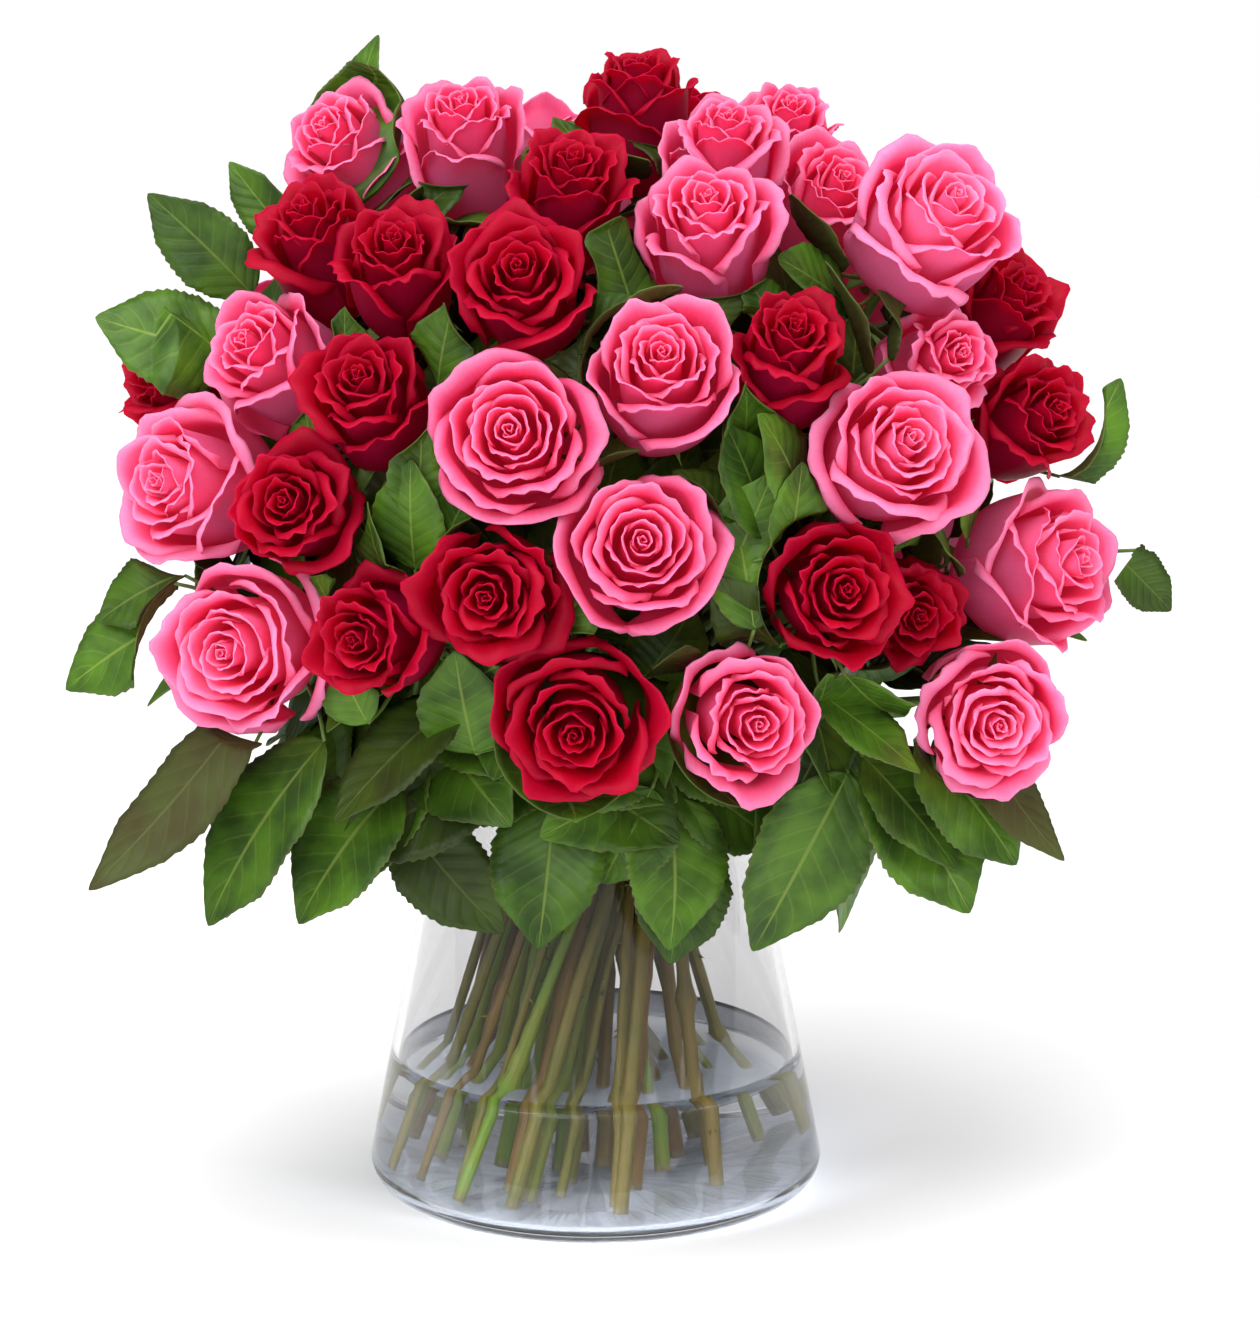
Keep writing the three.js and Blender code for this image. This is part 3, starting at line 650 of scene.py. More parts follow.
# The colours of each side of a leaf, blade, dark patches, veins and edge, and its roughness.
LEAF_COLOURS = {
    "leaf_top": (
        (0.072, 0.165, 0.012), (0.026, 0.062, 0.008), (0.19, 0.27, 0.045), (0.1, 0.12, 0.03)
    ),
    "leaf_underside": (
        (0.075, 0.095, 0.02), (0.065, 0.06, 0.016), (0.13, 0.15, 0.04), (0.1, 0.07, 0.025)
    ),
}
LEAF_ROUGHNESS = {"leaf_top": 0.38, "leaf_underside": 0.6}
LEAF_FINISHES = [
    leaf_material(name, *(rgb(*colour) for colour in colours), LEAF_ROUGHNESS[name])
    for name, colours in LEAF_COLOURS.items()
]
STEM = stem_material()
SEPAL = sepal_material()
RAFFIA = raffia_material()
GLASS = clear_material("clear_glass", rgb(0.765, 0.763, 0.765), rgb(0.97, 0.97, 0.97), 1.45, 18.0, 0.02)
WATER = clear_material("still_water", rgb(0.95, 0.975, 1.0), rgb(1.6, 1.67, 1.8), 1.33, 30.0, 0.05)


# ---------------------------------------------------------------- roses
def petals_of(rose, rng):
    """All petals of a bloom, as one array (petals, rows, columns, 3), and their layers.

    A petal is drawn in the bloom's own round frame. Its body, out from the axis against the
    height on it, is a Bezier curve that bulges from the claw to the petal's own distance, which
    grows from the tight scroll of the heart to the width of the cup. A lip continues the body as
    an arc of a circle that rolls outwards. Across its width a petal follows the axis at that
    distance, one edge a little further out than the other, so that the petals lap in a spiral."""
    count = PETALS[rose["kind"]]
    radius, length, openness = rose["radius"], rose["length"], rose["open"]
    pointed = 1.0 if rose["kind"] == "red" else 0.45
    t = np.linspace(0, 1, count)[:, None, None]
    v = np.linspace(0, 1, PETAL_ROWS)[None, :, None]
    u = np.linspace(-1, 1, PETAL_COLUMNS)[None, None, :]
    body = np.minimum(v / BODY_SHARE, 1)
    lip = np.clip((v - BODY_SHARE) / (1 - BODY_SHARE), 0, 1)
    chance = rng.random((12, count, 1, 1))
    swing = chance * 2 - 1
    guard = smooth(0.84, 1.0, t)

    start = rng.random() * 2 * np.pi + np.arange(count)[:, None, None] * GOLDEN
    start = start + 0.3 * swing[0] * t
    half = (mix(2.5, 0.96, t**0.42) + 0.26 * guard) * (1 + 0.12 * swing[1])
    lap = np.clip(t + 0.45 * u / count, 0, 1.03)

    # body
    own = radius * (0.04 + 0.81 * lap**1.16) * (1 + 0.035 * swing[2])
    top = mix(0.66, 1.0, smooth(0.0, 0.45, t)) + 0.05 * openness * t
    belly = [0.72, mix(0.92, 1.14, t), mix(0.84, 1.1, t), mix(0.88, 1.03, t), top]
    out = [mix(1.2, 4.5, t) + 0 * u] + [b * own for b in belly]
    crown = length * (0.965 + 0.04 * np.sin(np.pi * t**0.6) - mix(0.1, 0.16, openness) * t**1.5)
    crown = crown - guard * length * mix(0.02, 0.22, chance[3]) + mix(0.6, 1.8, t) * swing[4]
    roll = mix(1.0, 9.0, t**1.6) * mix(0.65, 1.25, chance[5])
    shoulder = np.abs(u) ** 2.2 * mix(2.0, 11.5, t**0.8) + 2.2 * swing[6] * u * t
    peak = crown - 0.5 * roll - shoulder
    high = [0 * peak, 0.03 * peak, 0.24 * peak, 0.55 * peak, 0.84 * peak, peak]
    basis = [c * body**k * (1 - body) ** (5 - k) for k, c in enumerate((1, 5, 10, 10, 5, 1))]
    distance = sum(b * o for b, o in zip(basis, out))
    height = sum(b * h for b, h in zip(basis, high))

    # lip: an arc of its own length and bend, bent furthest at its shoulders
    bend = np.radians(mix(24, 112, t**0.9) * mix(0.6, 1.35, chance[7]))
    bend = bend * (0.7 + 0.5 * np.abs(u + 0.5 * swing[8]) ** 1.5)
    size = roll * (1 - 0.45 * np.abs(u) ** 3) / bend
    distance = distance + size * (1 - np.cos(bend * lip))
    height = height + size * np.sin(bend * lip)

    # the petal is narrow at its claw, and round at its rim
    width = half * (0.4 + 0.6 * smooth(0.0, 0.6, body)) * (1 - 0.16 * lip**1.5)
    angle = start + width * u

    # a point at the middle of the rim, waves along it, and the loose outermost petals
    point = np.exp(-((u / 0.17) ** 2)) * lip * pointed
    distance = distance + point * mix(0.2, 3.2, t)
    height = height + point * mix(0.3, 0.9, t)
    phase = chance[9] * 2 * np.pi
    wave = np.sin(3.4 * u + phase) + 0.6 * np.sin(7.3 * u + 2 * phase)
    wave = wave + 0.5 * np.sin(15 * u + 5 * phase) * lip
    distance = distance + wave * body**3 * mix(0.15, 1.15, t)
    crinkle = np.cos(4.9 * u + 3 * phase) + 0.4 * np.sin(12 * u + 4 * phase) * lip
    height = height + crinkle * body**4 * mix(0.2, 1.3, t)
    ragged = np.sin(17 * u + 7 * phase) * lip**2 * smooth(0.15, 0.7, t)
    distance = distance + 0.4 * ragged
    height = height - 0.5 * ragged
    loose = smooth(0.72, 1.0, t) * chance[10] ** 2 * mix(1.2, 3.6, openness)
    distance = distance + loose * body**2.5
    height = height - 0.45 * loose * body**2.5

    points = in_bloom(rose, distance, angle, height)
    along = 0.78 * body + 0.22 * lip
    values = place_values(
        points, u * 0.5 + 0.5, along, t, chance[11] * 0.45 + rose["tone"] * 0.55
    )
    return points, values


def sepals_of(rose, rng):
    """Five narrow pointed sepals, each a strip that leaves the hip and curls back and down."""
    rows, columns = 13, 5
    s = np.linspace(0, 1, rows)[None, :, None]
    u = np.linspace(-1, 1, columns)[None, None, :]
    turn = (np.arange(5) * 2 * np.pi / 5 + rng.random() * 2)[:, None, None]
    chance = rng.random((3, 5, 1, 1))
    length = mix(20, 30, chance[0])
    lift = mix(0.9, -1.1, chance[1])  # radians above level at the start, falling as it goes
    bend = lift - mix(0.6, 2.4, chance[2]) * s**1.3
    step = length / (rows - 1)
    out = HIP_RADIUS - 1 + np.cumsum(np.cos(bend) * step, axis=1)
    high = 1.0 + np.cumsum(np.sin(bend) * step, axis=1)
    half = 3.4 * np.sin(np.pi * np.clip(s * 0.9 + 0.14, 0, 1)) ** 0.8 * (1 - s**3) + 0.15
    angle = turn + half * u / np.maximum(out, 4)
    cupped = high - 1.2 * (1 - u**2) * np.sin(np.pi * s)
    points = in_bloom(rose, out + 0 * u, angle, cupped)
    return patch(points, chance=chance[0])


def stem_of(rose, rng):
    """A stem swept along its centre line: slightly thicker towards the cut, swollen at each node
    and flared into the hip under the bloom, with its cut end closed."""
    line = spline(rose["line"], STEM_ROWS)
    s = np.linspace(0, 1, STEM_ROWS)
    radius = mix(2.8, 2.1, s) * rng.uniform(0.65, 1.08)
    for node in rng.uniform(0.04, 0.9, 8):
        radius = radius + rng.uniform(0.5, 1.3) * np.exp(-(((s - node) / 0.009) ** 2))
    radius = radius + 0.12 * np.sin(40 * s + rng.random() * 6)
    radius = radius + (HIP_RADIUS - 2.5) * smooth(0.955, 1.0, s) ** 1.5
    end = line[-1] + rose["axis"] * np.array([[2.0], [4.5]])
    line = np.vstack([line, end])
    radius = np.append(radius, [HIP_RADIUS + 0.4, HIP_RADIUS - 1.2])
    points = closed_tube(line, radius[:, None], STEM_SIDES)
    along = np.concatenate([[0], np.linspace(0, 1, STEM_ROWS), [1, 1, 1]])
    return patch(points, along=along[:, None], chance=rose["chance"]), line, radius


def prickles_of(line, radius, rng, count=9):
    """Hooked prickles: small cones whose tip bends down the stem."""
    rows, columns = 4, 6
    way, across, along = frames_along(line)
    at = rng.integers(4, int(STEM_ROWS * 0.9), count)
    turn = rng.uniform(0, 2 * np.pi, count)[:, None]
    out = across[at] * np.cos(turn) + along[at] * np.sin(turn)
    side = np.cross(way[at], out)
    root = line[at] + out * (radius[at][:, None] - 0.4)
    s = np.linspace(0, 1, rows)[None, :, None, None]
    angle = np.linspace(0, 2 * np.pi, columns)[None, None, :, None]
    size = 1.1 * (1 - s)
    long = rng.uniform(2.4, 3.8, count)[:, None, None, None]
    points = (
        root[:, None, None]
        + out[:, None, None] * s * long
        - way[at][:, None, None] * s**2 * 1.6
        + side[:, None, None] * size * 0.6 * np.cos(angle)
        + way[at][:, None, None] * size * np.sin(angle)
    )
    return patch(points, along=0.3, chance=0.8)


def make_rose(rose, number):
    """One rose: its petals, and its stem with hip, sepals and prickles."""
    rng = np.random.default_rng(100 + number)
    rose["chance"] = rng.random()
    rose["open"] = float(np.clip((rose["radius"] - 20) / 13, 0.1, 1))
    tone = float(np.clip(1.6 * rose["open"] - 0.5 + rng.uniform(-0.3, 0.3), 0, 1))
    rose["tone"] = TONES.get(rose["name"], tone)
    points, values = petals_of(rose, rng)
    add_piece(
        rose["name"] + "_petals",
        [(points, values, 0)],
        PETAL_FINISHES[rose["kind"]],
        [rose["name"]],
        weld=False,
        solid=PETAL_THICKNESS,
        back=1,
    )
    stem, line, radius = stem_of(rose, rng)
    add_piece(
        rose["name"] + "_stem",
        [stem, prickles_of(line, radius, rng)],
        [STEM],
        [rose["name"]],
    )
    add_piece(
        rose["name"] + "_sepals",
        [sepals_of(rose, rng)],
        [SEPAL],
        [rose["name"]],
        solid=0.4,
    )


# ---------------------------------------------------------------- leaves
STALK = 2  # a stalk's place among the materials of a piece with leaves


def add_leaves(name, node, patches):
    """A piece of leaves, with walls, that stands for a node or a part of it."""
    materials = LEAF_FINISHES + [STEM]
    add_piece(name, patches, materials, [node], solid=LEAF_THICKNESS, back=1)


def leaflet(root, aim, face, length, width, rng, rows=LEAFLET_ROWS, columns=LEAFLET_COLUMNS):
    """A leaflet: an egg-shaped toothed blade folded along its midrib, with a drooping tip.

    Half the width is a sine of a warped share along the blade, drawn in towards the tip, plus saw
    teeth that point at the tip. The blade lifts from the midrib to its edges, and bends down as a
    square of the share along it."""
    s = np.linspace(0, 1, rows)[:, None]
    u = np.linspace(-1, 1, columns)[None]
    across = unit(np.cross(aim, face))
    up = np.cross(across, aim)
    half = 0.5 * width * np.sin(np.pi * s**0.8) ** 0.7 * (1 - 0.3 * smooth(0.7, 1.0, s))
    teeth = TEETH * rows / LEAFLET_ROWS
    tooth = (s * teeth) % 1.0
    half = half * (1 + 0.07 * (tooth - 0.5) * smooth(0.03, 0.15, s)) + 0.2
    droop = rng.uniform(0.04, 0.22) * length
    fold = rng.uniform(0.06, 0.26)
    twist = rng.uniform(-0.35, 0.35)
    ripple = 0.05 * half * np.sin(13 * s + rng.random() * 6) * u**2
    curl = rng.uniform(-0.1, 0.04) * half * np.abs(u) ** 3
    rise = fold * half * np.abs(u) ** 1.4 + ripple + curl - droop * s**2 + twist * half * u * s
    sway = rng.uniform(-0.09, 0.09) * length * s**2
    side = half * u * np.cos(fold) + sway
    return (
        root
        + aim * (s * length * (1 - 0.06 * s))[..., None]
        + across * side[..., None]
        + up * rise[..., None]
    )


def stalk_curve(root, out, length, drop, count=17):
    """A stalk: a parabola that leaves the stem one way and has dropped by its tip."""
    s = np.linspace(0, 1, count)[:, None]
    middle = root + out * length * 0.55
    tip = root + out * length - UP * drop
    return root * (1 - s) ** 2 + 2 * middle * s * (1 - s) + tip * s**2


def leaf_patches(stalk, size, pairs, rng, leaf_length=66.0, leaf_width=46.0):
    """A compound leaf: its stalk, a leaflet at its tip and a leaflet on each side at each pair."""
    way = unit(np.gradient(stalk, axis=0))
    radius = mix(1.3, 0.8, np.linspace(0, 1, len(stalk)))[:, None]
    patches = [patch(closed_tube(stalk, radius, 7), STALK, along=0.75, chance=rng.random())]
    places = [(0.98, 0, 1.0)]
    for share, scale in pairs:
        places += [(share, 62, scale), (share, -62, scale)]
    for share, angle, scale in places:
        i = int(share * (len(stalk) - 1))
        across = unit(np.cross(way[i], UP))
        face = np.cross(across, way[i])
        aim = turned(way[i], face, np.radians(angle + rng.uniform(-8, 8)))
        long = leaf_length * size * scale
        blade = leaflet(stalk[i], aim, face, long, leaf_width * size * scale, rng)
        blade = clear_of_blooms(blade)
        chance = rng.uniform(0.3, 1.0)
        if not crosses_a_face(blade):
            patches.append(patch(blade, chance=chance))
    return patches


# The compound leaves of the collar and the sides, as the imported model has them: [the rose whose
# stem it grows on, how far up the neck, heading and rise in degrees, drop of its tip, how far
# past the vase's rim it reaches, size].
LEAVES = [
    ("red_rose_11", 0.5, -14, -10, 26, 18, 1.0),
    ("pink_rose_15", 0.45, 24, -8, 26, 22, 0.95),
    ("pink_rose_17", 0.5, 58, -4, 22, 40, 1.1),
    ("red_rose_09", 0.5, -42, -6, 22, 34, 1.1),
    ("pink_rose_10", 0.5, -74, -8, 34, 62, 1.1),
    ("pink_rose_09", 0.5, -84, 2, 14, 74, 0.9),
    ("red_rose_06", 0.5, -102, 46, -6, 104, 1.05),
    ("pink_rose_16", 0.5, 92, 16, 8, 86, 0.9),
    ("pink_rose_25", 0.45, 132, -8, 32, 40, 1.0),
    ("pink_rose_24", 0.4, 176, -8, 32, 30, 1.0),
    ("red_rose_21", 0.45, -128, -8, 32, 40, 1.0),
]
PAIRS = [(0.5, 0.86), (0.8, 0.94)]  # [how far along the stalk, size of the two leaflets]
RIM_RADIUS = 61.0


def neck_point(rose, share):
    """The point a share of the way from the tie to the bloom along a rose's stem."""
    neck = spline(rose["line"][WAIST_POINT : STEM_POINTS - 1], 101)
    return neck[int(round(share * 100))]


def make_leaves():
    """The compound leaves, each on its stalk."""
    for number, (host, share, turn, rise, drop, past_rim, size) in enumerate(LEAVES, 1):
        rng = np.random.default_rng(500 + number)
        root = neck_point(BY_NAME[host], share)
        length = RIM_RADIUS + past_rim - np.hypot(root[0], root[1])
        stalk = stalk_curve(root, heading(turn, rise), length, drop)
        name = f"compound_leaf_{number:02d}"
        add_leaves(name + "_blades", name, leaf_patches(stalk, size, PAIRS, rng))


# Single leaves of the skirt and of the outline: [foot, tip, width, and the way the upper
# side faces as heading and rise]. Feet and tips are millimetres from the middle of the vase's foot.
PLACED_LEAVES = [
    [(-132, -84, 220), (-188, -92, 144), 38, (120, 20)],
    [(-104, -88, 206), (-160, -96, 143), 44, (-40, 40)],
    [(-76, -84, 188), (-122, -98, 143), 46, (-20, 40)],
    [(-52, -92, 224), (-104, -108, 184), 40, (-30, 50)],
    [(-38, -78, 190), (-100, -92, 168), 42, (-10, 30)],
    [(-76, -60, 168), (-40, -80, 124), 38, (-20, 25)],
    [(22, -84, 186), (2, -92, 150), 38, (10, 35)],
    [(38, -78, 164), (28, -88, 116), 40, (15, 25)],
    [(98, -76, 190), (62, -86, 119), 52, (40, 35)],
    [(104, -74, 196), (144, -84, 156), 44, (30, 45)],
    [(108, -66, 196), (150, -80, 137), 56, (35, 30)],
    [(148, -66, 206), (172, -72, 150), 28, (-140, 10)],
    [(86, -94, 226), (126, -100, 198), 34, (20, 60)],
    [(126, -70, 202), (168, -80, 156), 42, (30, 35)],
    [(-98, 6, 414), (-92, 0, 467), 26, (-40, 10)],
    [(-134, -14, 368), (-170, -20, 409), 32, (-25, 25)],
    [(-118, -4, 386), (-142, -6, 418), 22, (-20, 20)],
    [(-138, -24, 344), (-194, -30, 360), 44, (-15, 35)],
    [(182, -26, 292), (208, -26, 334), 30, (40, 20)],
    [(204, -36, 268), (227, -38, 246), 26, (30, 40)],
    [(-158, -66, 268), (-194, -70, 254), 34, (-20, 45)],
    [(-152, -74, 256), (-208, -80, 232), 42, (-20, 50)],
]
# The layers of gap leaves: [share of the way out from the middle of the dome to its blooms, least
# distance apart, least gap, least and greatest length].
LAYERS = ((0.98, 17, 2.0, 34, 50), (0.78, 21, 3.0, 48, 62), (0.58, 24, 3.0, 50, 60))
SKIRT = 30  # leaves that hang round the foot of the dome
DOME_MIDDLE = np.array([0.0, -12.0, 275.0])  # what the blooms of the dome face away from
TRIED_PLACES = 1400
NECK_STEPS = 40
NECKS = np.array([spline(r["line"][WAIST_POINT:], NECK_STEPS)[5:-4] for r in ROSES])


def gap_places(depth, apart, least):
    """Places between the blooms of the dome, widest gap first, and how wide each gap is.

    The places are directions spread evenly over a ball by the golden angle. Each is tried at the
    distance of the blooms around it, times depth, and kept if it is at least a given distance
    from every bloom and a given distance apart from the places before it."""
    middles = np.array([r["base"] + 0.5 * r["length"] * r["axis"] for r in ROSES]) - DOME_MIDDLE
    far = np.linalg.norm(middles, axis=1)
    k = np.arange(TRIED_PLACES)
    z = mix(-0.42, 1.0, (k + 0.5) / TRIED_PLACES)
    level = np.sqrt(1 - z**2)
    ways = np.stack([level * np.cos(k * GOLDEN), level * np.sin(k * GOLDEN), z], axis=-1)
    nearness = np.exp(((ways @ unit(middles).T) - 1) * 30)
    shell = (nearness * far).sum(1) / nearness.sum(1) * depth
    places = DOME_MIDDLE + ways * shell[:, None]
    room = np.full(TRIED_PLACES, 99.0)
    for rose in ROSES:
        at = places - rose["base"]
        on_axis = np.clip(at @ rose["axis"], 0.1 * rose["length"], 0.85 * rose["length"])
        away = np.linalg.norm(at - on_axis[:, None] * rose["axis"], axis=1)
        room = np.minimum(room, away - rose["radius"])
    chosen = []
    for i in np.argsort(-room):
        if room[i] < least:
            break
        if all(np.linalg.norm(places[i] - places[j]) > apart for j in chosen):
            chosen.append(i)
    return [(places[i], ways[i], room[i]) for i in chosen]


def fitted_blade(place, face, length, rng, rows=25, columns=7):
    """A blade centred on a place and facing a way, turned so that blooms push it aside least."""
    tries = []
    for _ in range(10):
        side = unit(np.cross(face, rng.normal(size=3)))
        aim = unit(side + 0.35 * face)
        normal = unit(face - np.dot(face, aim) * aim)
        root = place - aim * length * 0.5
        blade = leaflet(root, aim, normal, length, 0.68 * length, rng, rows, columns)
        cleared = clear_of_blooms(blade, 1.5)
        moved = np.linalg.norm(cleared - blade, axis=-1).max()
        tries.append((moved - 8 * aim[2], len(tries), cleared))
    return min(tries)[2]


def stalk_to(blade):
    """The stem nearest to a blade's foot, and the stalk from it that carries the blade."""
    foot = blade[0, blade.shape[1] // 2]
    away = np.linalg.norm(NECKS - foot, axis=-1)
    index, step = np.unravel_index(away.argmin(), away.shape)
    root = NECKS[index, step]
    heel = 2 * foot - blade[2, blade.shape[1] // 2]
    line = spline([root, mix(root, heel, 0.7), foot], 9)
    return index, closed_tube(line, mix(1.0, 0.7, np.linspace(0, 1, 9))[:, None], 6)


def make_upper_leaves():
    """Leaves that fill the gaps between the blooms: an outer layer that faces out, a deeper one
    behind it, and a skirt that hangs round the foot of the dome."""
    rng = np.random.default_rng(900)
    grown = {}

    def grow(blade):
        """A blade with its stalk, kept with the rose that it grows on."""
        index, stalk = stalk_to(blade)
        chance = rng.random()
        pieces = [patch(blade, chance=chance), patch(stalk, STALK, along=0.75, chance=chance)]
        grown.setdefault(index, []).extend(pieces)

    for depth, apart, least, low, high in LAYERS:
        for place, way, room in gap_places(depth, apart, least):
            face = unit(way + 0.35 * rng.normal(size=3))
            length = np.clip(2.2 * room + 26, low, high) * rng.uniform(0.9, 1.1)
            grow(fitted_blade(place, face, length, rng))
    for foot, tip, width, facing in PLACED_LEAVES:
        foot, way = np.array(foot, float), np.subtract(tip, foot).astype(float)
        length = np.linalg.norm(way)
        normal = heading(*facing)
        normal = unit(normal - np.dot(normal, unit(way)) * unit(way))
        blade = leaflet(foot, unit(way), normal, 1.06 * length, width, rng)
        grow(clear_of_blooms(blade, 1.0))
    for k in range(SKIRT):
        turn = 360 * k / SKIRT + rng.uniform(-7, 7)
        tier = k % 3
        reach = mix(46, 92, tier / 2) + rng.uniform(-6, 6)
        flat = heading(turn, 0)
        root = flat * reach + UP * (mix(226, 236, tier / 2) + rng.uniform(-5, 5))
        aim = heading(turn + rng.uniform(-25, 25), rng.uniform(-52, -22))
        face = unit(np.cross(np.cross(aim, flat + UP), aim) + 0.25 * rng.normal(size=3))
        length = rng.uniform(54, 68)
        blade = leaflet(root, aim, face, length, 0.7 * length, rng, 36, 9)
        grow(clear_of_blooms(blade, 1.5))
    for index, patches in grown.items():
        name = ROSES[index]["name"]
        add_leaves(name + "_leaves", name, patches)


# ---------------------------------------------------------------- vase, water and tie
def lathe(profile, sides=144):
    """A profile of (distance from the axis, height) turned about Z."""
    profile = np.asarray(profile, float)
    angle = np.linspace(0, 2 * np.pi, sides + 1)
    out, high = profile[:, :1], profile[:, 1:]
    return np.stack([out * np.cos(angle), out * np.sin(angle), high + 0 * angle], axis=-1)


def arc(centre, radius, start, end, count=9):
    """Points on a circle from one angle to another, in degrees."""
    angle = np.radians(np.linspace(start, end, count))
    return [(centre[0] + radius * np.cos(a), centre[1] + radius * np.sin(a)) for a in angle]


VASE_LOW, VASE_HIGH = (np.array(c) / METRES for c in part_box("glass_vase"))
WATER_LOW, WATER_HIGH = (np.array(c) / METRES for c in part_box("water"))
VASE_WALL = 3.5
BASE_RADIUS = (VASE_HIGH[0] - VASE_LOW[0]) / 2
CORNER = 12.0
SLOPE = (BASE_RADIUS - RIM_RADIUS) / (VASE_HIGH[2] - CORNER)


def outer_radius(z):
    """The outer radius of the straight wall at a height."""
    return BASE_RADIUS - SLOPE * (z - CORNER)


def inner_radius(z):
    """The inner radius of the wall at a height, level with the outer one."""
    return outer_radius(z) - VASE_WALL * np.hypot(1, SLOPE)


def make_vase():
    """The glass: a rounded heel, a straight tapering wall, a fire-polished rim, and a thick
    bottom with a round inner corner."""
    top = VASE_HIGH[2]
    lip = VASE_WALL / 2
    floor = WATER_LOW[2] - 0.4
    round_in = CORNER - VASE_WALL
    inner_corner = (inner_radius(floor + round_in) - round_in, floor + round_in)
    profile = [(0, 0), (BASE_RADIUS * 0.5, 0)]
    profile += arc((BASE_RADIUS - CORNER, CORNER), CORNER, -90, 0)
    profile += [(outer_radius(z), z) for z in np.linspace(CORNER, top - lip, 12)[1:-1]]
    profile += arc((outer_radius(top) - lip, top - lip), lip, 0, 180)
    profile += [(inner_radius(z), z) for z in np.linspace(top - lip, floor + round_in, 12)[1:-1]]
    profile += arc(inner_corner, round_in, 0, -90)
    profile += [(BASE_RADIUS * 0.4, floor), (0, floor)]
    add_piece("glass_vase_clear", [patch(lathe(profile))], [GLASS], ["glass_vase"])


def make_water():
    """The water: it wets the glass, and its surface climbs a little where it meets the wall."""
    sunk = 0.35  # how far the water's skin stands inside the glass
    level = WATER_HIGH[2] - 0.5
    floor = WATER_LOW[2] - 0.4 - sunk
    round_in = CORNER - VASE_WALL + sunk
    corner = (inner_radius(floor + round_in) - round_in + sunk, floor + round_in)
    profile = [(0, floor)]
    profile += arc(corner, round_in, -90, 0)
    profile += [(inner_radius(z) + sunk, z) for z in np.linspace(corner[1], level + 1.0, 8)[1:]]
    edge = inner_radius(level)
    profile += [(edge - 0.5, level + 0.5), (edge - 1.3, level + 0.15), (edge - 2.6, level)]
    profile += [(edge * 0.5, level), (0, level)]
    add_piece("water_body", [patch(lathe(profile))], [WATER], ["water"])


def make_tie():
    """Raffia: seven flat strands that wind once round the stems and wander up and down, a knot
    at the back, and two short ends."""
    low, high = (np.array(c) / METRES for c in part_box("raffia_tie"))
    ring = (high[0] - low[0]) / 2 - 1.2
    middle = (low[2] + high[2]) / 2
    rng = np.random.default_rng(77)
    angle = np.linspace(0, 2 * np.pi, 97)
    patches = []
    for k in range(7):
        wander = 1.1 * np.sin(2 * angle + k) + 0.6 * np.sin(5 * angle + 2 * k)
        out = ring + 0.5 * np.sin(3 * angle + 1.7 * k)
        z = middle + (k - 3) * 1.8 + wander
        line = np.stack([out * np.cos(angle), out * np.sin(angle), z], axis=-1)
        patches.append(patch(tube(line, 1.15, 8), chance=rng.random()))
    for side in (-1, 1):
        s = np.linspace(0, 1, 24)[:, None]
        root = np.array([0.0, ring + 1.0, middle])
        line = root + np.array([side * 26.0, 5.0, -20.0]) * s + UP * 9 * np.sin(np.pi * s)
        patches.append(patch(closed_tube(line, mix(1.6, 0.9, s), 8), chance=0.5))
    knot = np.linspace(0, 2 * np.pi, 40)
    line = np.stack(
        [4 * np.sin(knot), ring + 1.5 + 1.5 * np.sin(2 * knot), middle + 3.2 * np.sin(3 * knot)],
        axis=-1,
    )
    patches.append(patch(closed_tube(line, 1.6, 8), chance=0.4))
    add_piece("raffia_strands", patches, [RAFFIA], ["raffia_tie"])


# ---------------------------------------------------------------- floor, light and camera
def make_floor():
    """A plain pale floor far wider than the view."""
    half = 3.0
    mesh = bpy.data.meshes.new("floor")
    corners = [(-half, -half, 0), (half, -half, 0), (half, half, 0), (-half, half, 0)]
    mesh.from_pydata(corners, [], [(0, 1, 2, 3)])
    material, n, shader = new_material("pale_floor")
    n.feed(shader, {"Base Color": rgb(0.855, 0.855, 0.855), "Roughness": 0.9})
    mesh.materials.append(material)
    floor = in_scene("floor", mesh)


def aimed(made, way):
    """Turns a lamp or a camera to look along a direction, with its top up."""
    made.rotation_euler = Vector(way).to_track_quat("-Z", "Y").to_euler()


def add_lamp(name, place, aim, size, power):
    """A square soft lamp at a place, turned to what it lights."""
    lamp = in_scene(name, bpy.data.lights.new(name, "AREA"))
    lamp.data.size = size
    lamp.data.energy = power
    lamp.location = place
    aimed(lamp, Vector(aim) - Vector(place))


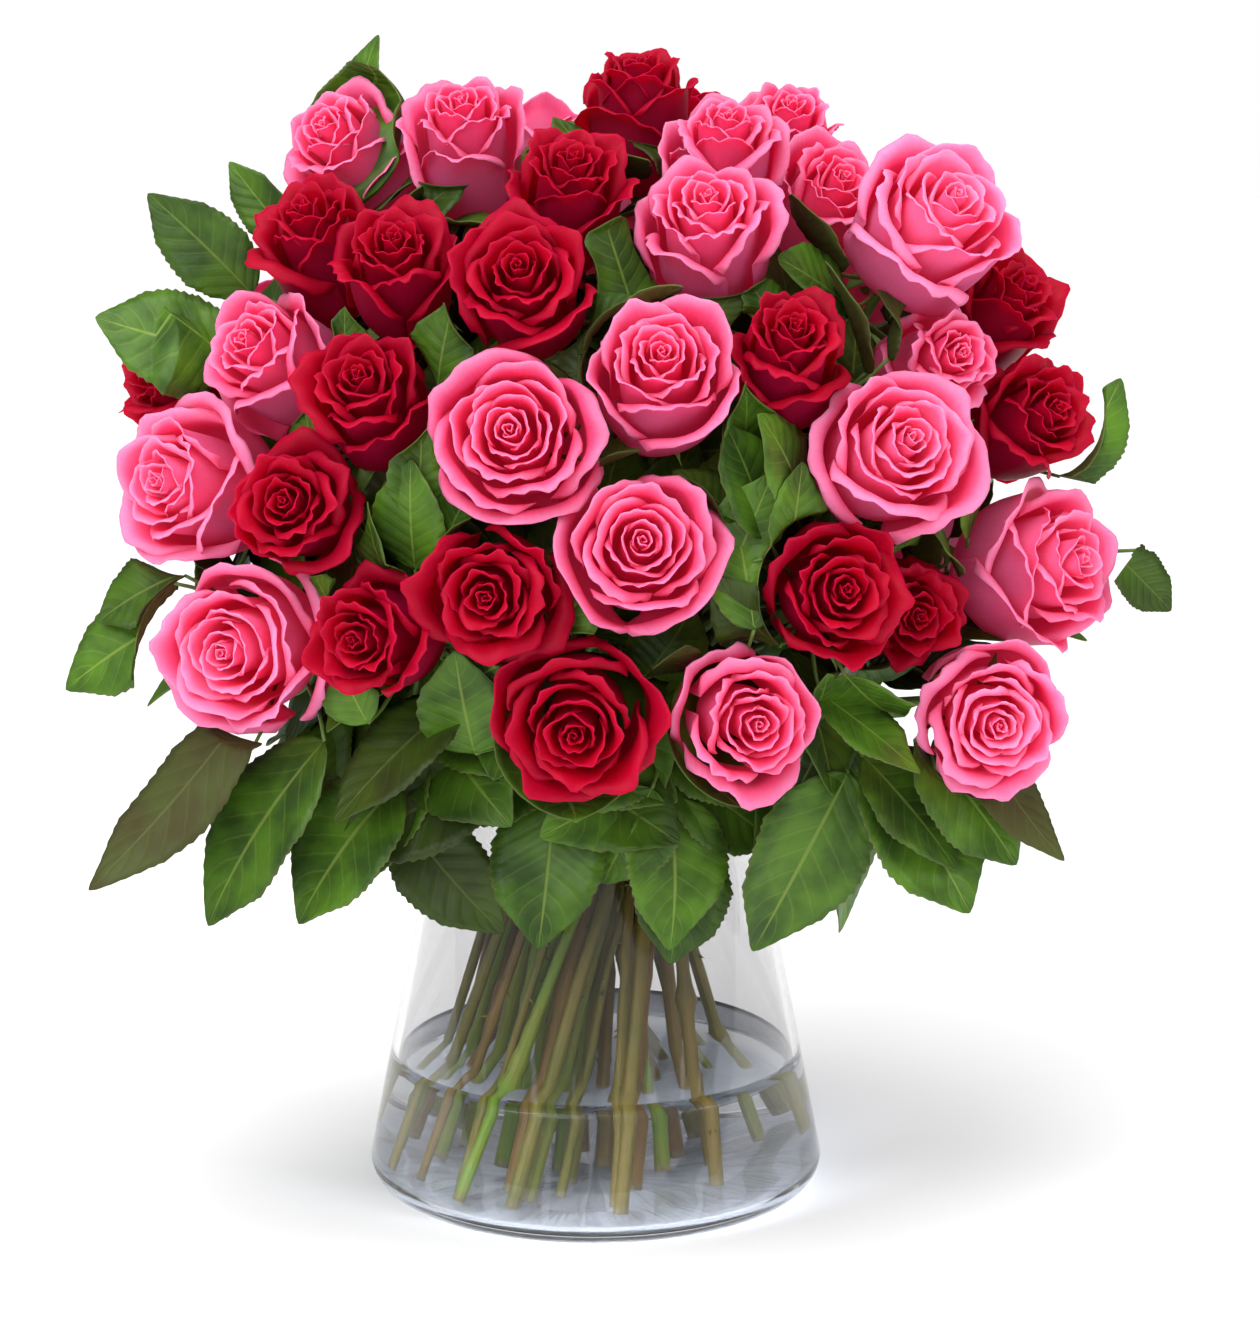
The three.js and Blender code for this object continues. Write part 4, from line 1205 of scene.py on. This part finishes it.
def make_light():
    """A white studio, with a wide sun and four soft lamps to model the shapes.

    The sky is plain white to the eye, dimmer for the light that it sheds, grey-lilac through the
    glass and darkest in reflections.
    """
    world = bpy.data.worlds.new("studio")
    bpy.context.scene.world = world
    world.use_nodes = True
    n = Nodes(world.node_tree)
    sky = world.node_tree.nodes["Background"]
    ray = n.add("ShaderNodeLightPath").outputs
    light = n.blend(ray["Is Glossy Ray"], rgb(0.74, 0.74, 0.75), rgb(0.12, 0.12, 0.13))
    light = n.blend(ray["Is Transmission Ray"], light, rgb(0.8, 0.79, 0.82))
    n.tree.links.new(n.blend(ray["Is Camera Ray"], light, rgb(1, 1, 1)), sky.inputs["Color"])
    sun = in_scene("key", bpy.data.lights.new("key", "SUN"))
    sun.data.energy = 1.5
    sun.data.angle = np.radians(40)
    aimed(sun, (0.2, 0.36, -1.0))
    middle = (0, 0, 0.25)
    add_lamp("left", (-1.2, -0.9, 1.3), middle, 0.5, 6)
    add_lamp("right", (1.4, -0.7, 0.9), middle, 0.6, 4)
    add_lamp("front", (-0.7, -2.0, 1.3), middle, 1.3, 19)
    add_lamp("top", (0.3, 0.2, 2.3), middle, 1.4, 12)
    bpy.context.scene.view_settings.view_transform = "Standard"


def make_camera():
    """A long lens two metres off, a little above the bunch, aimed right of and below its middle."""
    distance, raised = 2.0, np.radians(12.4)
    view_height = 0.528  # what the frame's long side takes in at that distance
    middle = np.array([0, 0, 0.24])
    right = np.array([1.0, 0.0, 0.0])
    up = np.array([0.0, np.sin(raised), np.cos(raised)])
    place = middle + distance * np.array([0, -np.cos(raised), np.sin(raised)])
    aim = middle + 0.014 * right - 0.022 * up
    camera = in_scene("camera", bpy.data.cameras.new("camera"))
    camera.data.sensor_width = 36.0
    camera.data.lens = 36.0 * distance / view_height
    camera.location = place
    aimed(camera, aim - place)
    bpy.context.scene.camera = camera


make_camera()
make_light()
make_floor()
for index, each in enumerate(ROSES):
    make_rose(each, index)
make_leaves()
make_upper_leaves()
make_vase()
make_water()
make_tie()
